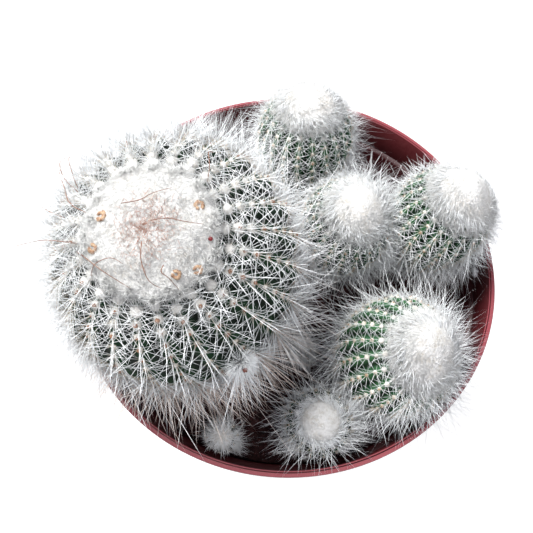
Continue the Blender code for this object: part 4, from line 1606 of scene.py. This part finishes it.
@dataclass
class CrownLitter:
    """What lies on the main crown: dried flowers, a berry dot and long curly brown hairs."""

    crown: WoolCrown
    flowers: tuple[tuple[float, float], ...] = ((10.7, 163.0), (12.8, 197.0), (12.2, 25.0), (14.0, 321.0),
                                               (11.6, 303.0))
    berry: tuple[float, float] = (13.6, 351.0)
    tuft: tuple[float, float] = (40.5, 303.0)
    pompoms: int = 24
    hairs: tuple[tuple[tuple[float, float, float], ...], ...] = (
        ((22.0, 150.0, 2.0), (26.8, 147.0, 5.0), (31.0, 142.0, 7.0), (36.0, 138.0, 6.5)),
        ((15.0, 163.0, 2.0), (19.0, 160.0, 4.5), (25.0, 151.0, 4.5), (29.0, 146.0, 6.0), (34.0, 141.0, 7.5)),
        ((23.5, 148.0, 2.0), (25.5, 142.0, 5.0), (29.0, 138.0, 6.5), (32.0, 136.0, 5.5)),
        ((24.5, 167.0, 1.5), (28.5, 165.0, 4.0), (33.0, 162.0, 6.5), (37.0, 160.0, 7.5)),
        ((17.5, 187.0, 2.0), (22.5, 183.0, 5.5), (28.0, 181.0, 6.0), (33.0, 181.0, 8.5), (38.5, 179.0, 9.0)),
        ((19.0, 192.0, 1.0), (14.5, 203.0, 3.8), (12.0, 225.0, 5.0), (13.0, 256.0, 3.2)),
        ((7.5, 135.0, 3.5), (5.0, 100.0, 5.6), (6.8, 74.0, 5.4), (9.6, 56.0, 4.8)),
        ((1.8, 43.0, 4.0), (4.8, 16.0, 5.6), (8.0, 6.0, 5.2), (12.0, 4.0, 3.4)),
        ((8.6, 297.0, 4.2), (9.6, 292.0, 5.4), (11.5, 296.0, 4.6), (15.4, 298.0, 2.2)),
        ((25.0, 57.0, 2.5), (21.0, 55.0, 5.5), (18.6, 48.0, 5.0), (16.6, 41.0, 2.8)),
        ((3.0, 262.0, 4.0), (6.5, 268.0, 5.4), (10.5, 275.0, 4.8), (13.0, 284.0, 3.0)),
        ((17.0, 215.0, 1.5), (12.8, 214.0, 4.2), (9.0, 222.0, 4.8), (8.5, 240.0, 4.0)),
    )

    def build(self, finish: Finishes, rng: np.random.Generator) -> None:
        """Make each kind and dress it.

        Args:
            finish: the materials.
            rng: the source of the small differences.
        """
        self.build_flowers(finish, rng)
        self.build_pompoms(finish, rng)
        self.build_strands(finish, rng)
        self.build_tuft(finish, rng)

    def build_strands(self, finish: Finishes, rng: np.random.Generator) -> None:
        """Make the long curly hairs.

        Args:
            finish: the materials.
            rng: the source of the small differences.
        """
        strands = [self.strand(route) for route in self.hairs]
        mesh = copies_mesh(np.stack(strands), needle_template(14, 4).faces)
        count = len(strands) * len(strands[0])
        set_attribute(mesh, "tone", rng.random(count))
        set_attribute(mesh, "along", np.ones(count))
        mesh_object("curly_hairs", mesh, finish.hair)

    def build_tuft(self, finish: Finishes, rng: np.random.Generator) -> None:
        """Make the tuft low on the flank, with its brush of hairs and its brown bud.

        Args:
            finish: the materials.
            rng: the source of the small differences.
        """
        arc, angle = self.tuft
        point, normal, up, side = (v[None] for v in self.crown.form.place(arc, math.radians(angle), 3.6))
        spot = Areoles(point, normal, up, side, np.zeros(1))
        wool = Fan(700, 60.0, 28.0, 4.2, 0.065, wave=0.12, uneven=0.2, droop=0.1, offset=0.7).grow(spot, rng)
        brush = Fan(30, 62.0, 12.0, 12.0, 0.09, aim=-150.0, width=42.0, wave=0.04, uneven=0.25)
        brush = brush.grow(spot, rng)
        mesh_object("flank_brush", brush.mesh(needle_template(2)), finish.spine)
        mesh_object("flank_tuft", wool.mesh(needle_template(1)), finish.spine)
        ball = ball_template(2)
        lumpy = ball.points * rng.uniform(0.8, 1.25, (len(ball.points), 1)) * 0.6
        bud = copies_mesh((point + 3.0 * normal + 1.4 * up)[:, None] + lumpy[None], ball.faces)
        mesh_object("flank_bud", bud, finish.bud)

    def build_pompoms(self, finish: Finishes, rng: np.random.Generator) -> None:
        """Make the woolly balls of the youngest areoles, on the disc's edge.

        Args:
            finish: the materials.
            rng: the source of the small differences.
        """
        form, n = self.crown.form, self.pompoms
        angle = 2 * math.pi * (np.arange(n) + rng.uniform(-0.35, 0.35, n)) / n
        share = rng.uniform(0.84, 1.0, n)
        lift = self.crown.rise(np.minimum(share, 1.0), angle) - 0.2
        spots = Areoles(*form.place(share * form.wool_arc, angle, lift), share)
        fluff = Fan(150, 52.0, 30.0, 1.85, 0.06, wave=0.2, uneven=0.3, offset=0.5).grow(spots, rng)
        mesh_object("crown_pompoms", fluff.mesh(needle_template(0)), finish.wool)

    def build_flowers(self, finish: Finishes, rng: np.random.Generator) -> None:
        """Make the dried flowers and the berry dot.

        Args:
            finish: the materials.
            rng: the source of the small differences.
        """
        form = self.crown.form
        ball = ball_template(2)
        places = np.array(self.flowers)
        share = places[:, 0] / form.wool_arc
        lift = self.crown.rise(np.minimum(share, 1.0), np.radians(places[:, 1])) - 0.1
        spots = Areoles(*form.place(places[:, 0], np.radians(places[:, 1]), lift), share)
        cup = cup_template()
        n = len(spots)
        jag = rng.uniform(0.8, 1.2, (n, len(cup.points), 3))
        turn = rng.uniform(0, 2 * math.pi, (n, 1))
        x = cup.points[None, :, 0] * np.cos(turn) - cup.points[None, :, 1] * np.sin(turn)
        y = cup.points[None, :, 0] * np.sin(turn) + cup.points[None, :, 1] * np.cos(turn)
        local = np.stack([x, y, np.broadcast_to(cup.points[None, :, 2], x.shape)], -1) * jag
        local = local * rng.uniform(1.0, 1.3, (n, 1, 1))
        points = (spots.point[:, None] + local[..., :1] * spots.side[:, None]
                  + local[..., 1:2] * spots.up[:, None] + local[..., 2:] * spots.normal[:, None])
        mesh_object("dried_flowers", copies_mesh(points, cup.faces), finish.flower)
        point, normal = form.place(self.berry[0], math.radians(self.berry[1]), 3.0)[:2]
        points = point[None, None] + 0.55 * ball.points[None]
        mesh_object("berry", copies_mesh(points, ball.faces), finish.berry)

    def strand(self, route: tuple[tuple[float, float, float], ...]) -> Array:
        """The points of one long hair.

        Args:
            route: its way as distances down from the tip, angles in degrees and lifts.

        Returns:
            The points of a bent needle along it.
        """
        form = self.crown.form
        arc, angle, lift = np.array(route).T
        knots = form.place(arc, np.radians(angle), lift)[0]
        shape = needle_template(14, 4).points
        t = shape[:, 2] * (len(knots) - 1)
        k = np.minimum(t.astype(int), len(knots) - 2)
        f = (t - k)[:, None]
        before, after = knots[np.maximum(k - 1, 0)], knots[np.minimum(k + 2, len(knots) - 1)]
        p0, p1 = knots[k], knots[k + 1]
        centre = 0.5 * (2 * p0 + (p1 - before) * f + (2 * before - 5 * p0 + 4 * p1 - after) * f ** 2
                        + (3 * p0 - before - 3 * p1 + after) * f ** 3)
        way = unit(p1 - before + (after - p0 - p1 + before) * f)
        a = unit(np.cross(way, UP))
        b = np.cross(way, a)
        return centre + 0.14 * (shape[:, :1] * a + shape[:, 1:2] * b)


@dataclass
class Studio:
    """Pale floor, soft light and the camera."""

    frame_size: int = 533
    focal: float = 687.4
    distance: float = 215.0
    elevation: float = 64.16
    aim: tuple[float, float] = (-6.0, -1.1)

    def build(self) -> None:
        """Set the stage."""
        bm = bmesh.new()
        bmesh.ops.create_grid(bm, x_segments=1, y_segments=1, size=1500.0)
        mesh = from_bmesh(bm)
        mesh.materials.append(FloorFinish().make())
        floor = bpy.data.objects.new("floor", mesh)
        bpy.context.scene.collection.objects.link(floor)
        self.light("key", (-0.40, 0.32, 0.85), 0.40, 17.0)
        self.light("front", (0.35, -0.40, 0.80), 0.8, 3.6)
        world = bpy.data.worlds.new("studio")
        world.use_nodes = True
        world.node_tree.nodes["Background"].inputs["Color"].default_value = (0.82, 0.84, 1.0, 1.0)
        world.node_tree.nodes["Background"].inputs["Strength"].default_value = 0.37
        scene = bpy.context.scene
        scene.world = world
        scene.view_settings.view_transform = "Standard"
        self.camera()

    def light(self, name: str, place: tuple[float, float, float], size: float, power: float) -> None:
        """A square soft light that faces the plant.

        Args:
            name: the light's name.
            place: where it is, in metres.
            size: its side, in metres.
            power: its power, in watts.
        """
        data = bpy.data.lights.new(name, "AREA")
        data.size = size
        data.energy = power
        lamp = bpy.data.objects.new(name, data)
        lamp.location = place
        way = Vector((0.0, 0.0, POT_HEIGHT * MM)) - lamp.location
        lamp.rotation_euler = way.to_track_quat("-Z", "Y").to_euler()
        bpy.context.scene.collection.objects.link(lamp)

    def camera(self) -> None:
        """The camera at the photograph's viewing angle."""
        data = bpy.data.cameras.new("camera")
        data.sensor_width = 36.0
        data.lens = 36.0 * self.focal / self.frame_size
        data.clip_start = 0.01
        cam = bpy.data.objects.new("camera", data)
        e = math.radians(self.elevation)
        target = Vector((self.aim[0], self.aim[1], POT_HEIGHT)) * MM
        back = Vector((0.0, -math.cos(e), math.sin(e)))
        cam.location = target + back * self.distance * MM
        cam.rotation_euler = (math.pi / 2 - e, 0.0, 0.0)
        bpy.context.scene.collection.objects.link(cam)
        bpy.context.scene.camera = cam


def main() -> None:
    """Build the pot, the soil, each stem with its spines and wool, and the studio."""
    logging.basicConfig(level=logging.INFO, format="%(message)s")
    finish = Finishes.make()
    Pot().build(finish)
    SoilBed().build(finish)
    for index, size in enumerate(STEMS):
        rng = np.random.default_rng(SEED + 10 * index)
        form = StemForm(size)
        StemBody(form).build(finish)
        SpineCoat(form).build(finish, rng)
        crown = WoolCrown(form)
        crown.build(finish, rng)
        if size.name == "main":
            CrownLitter(crown).build(finish, rng)
    Studio().build()


if __name__ == "__main__":
    main()
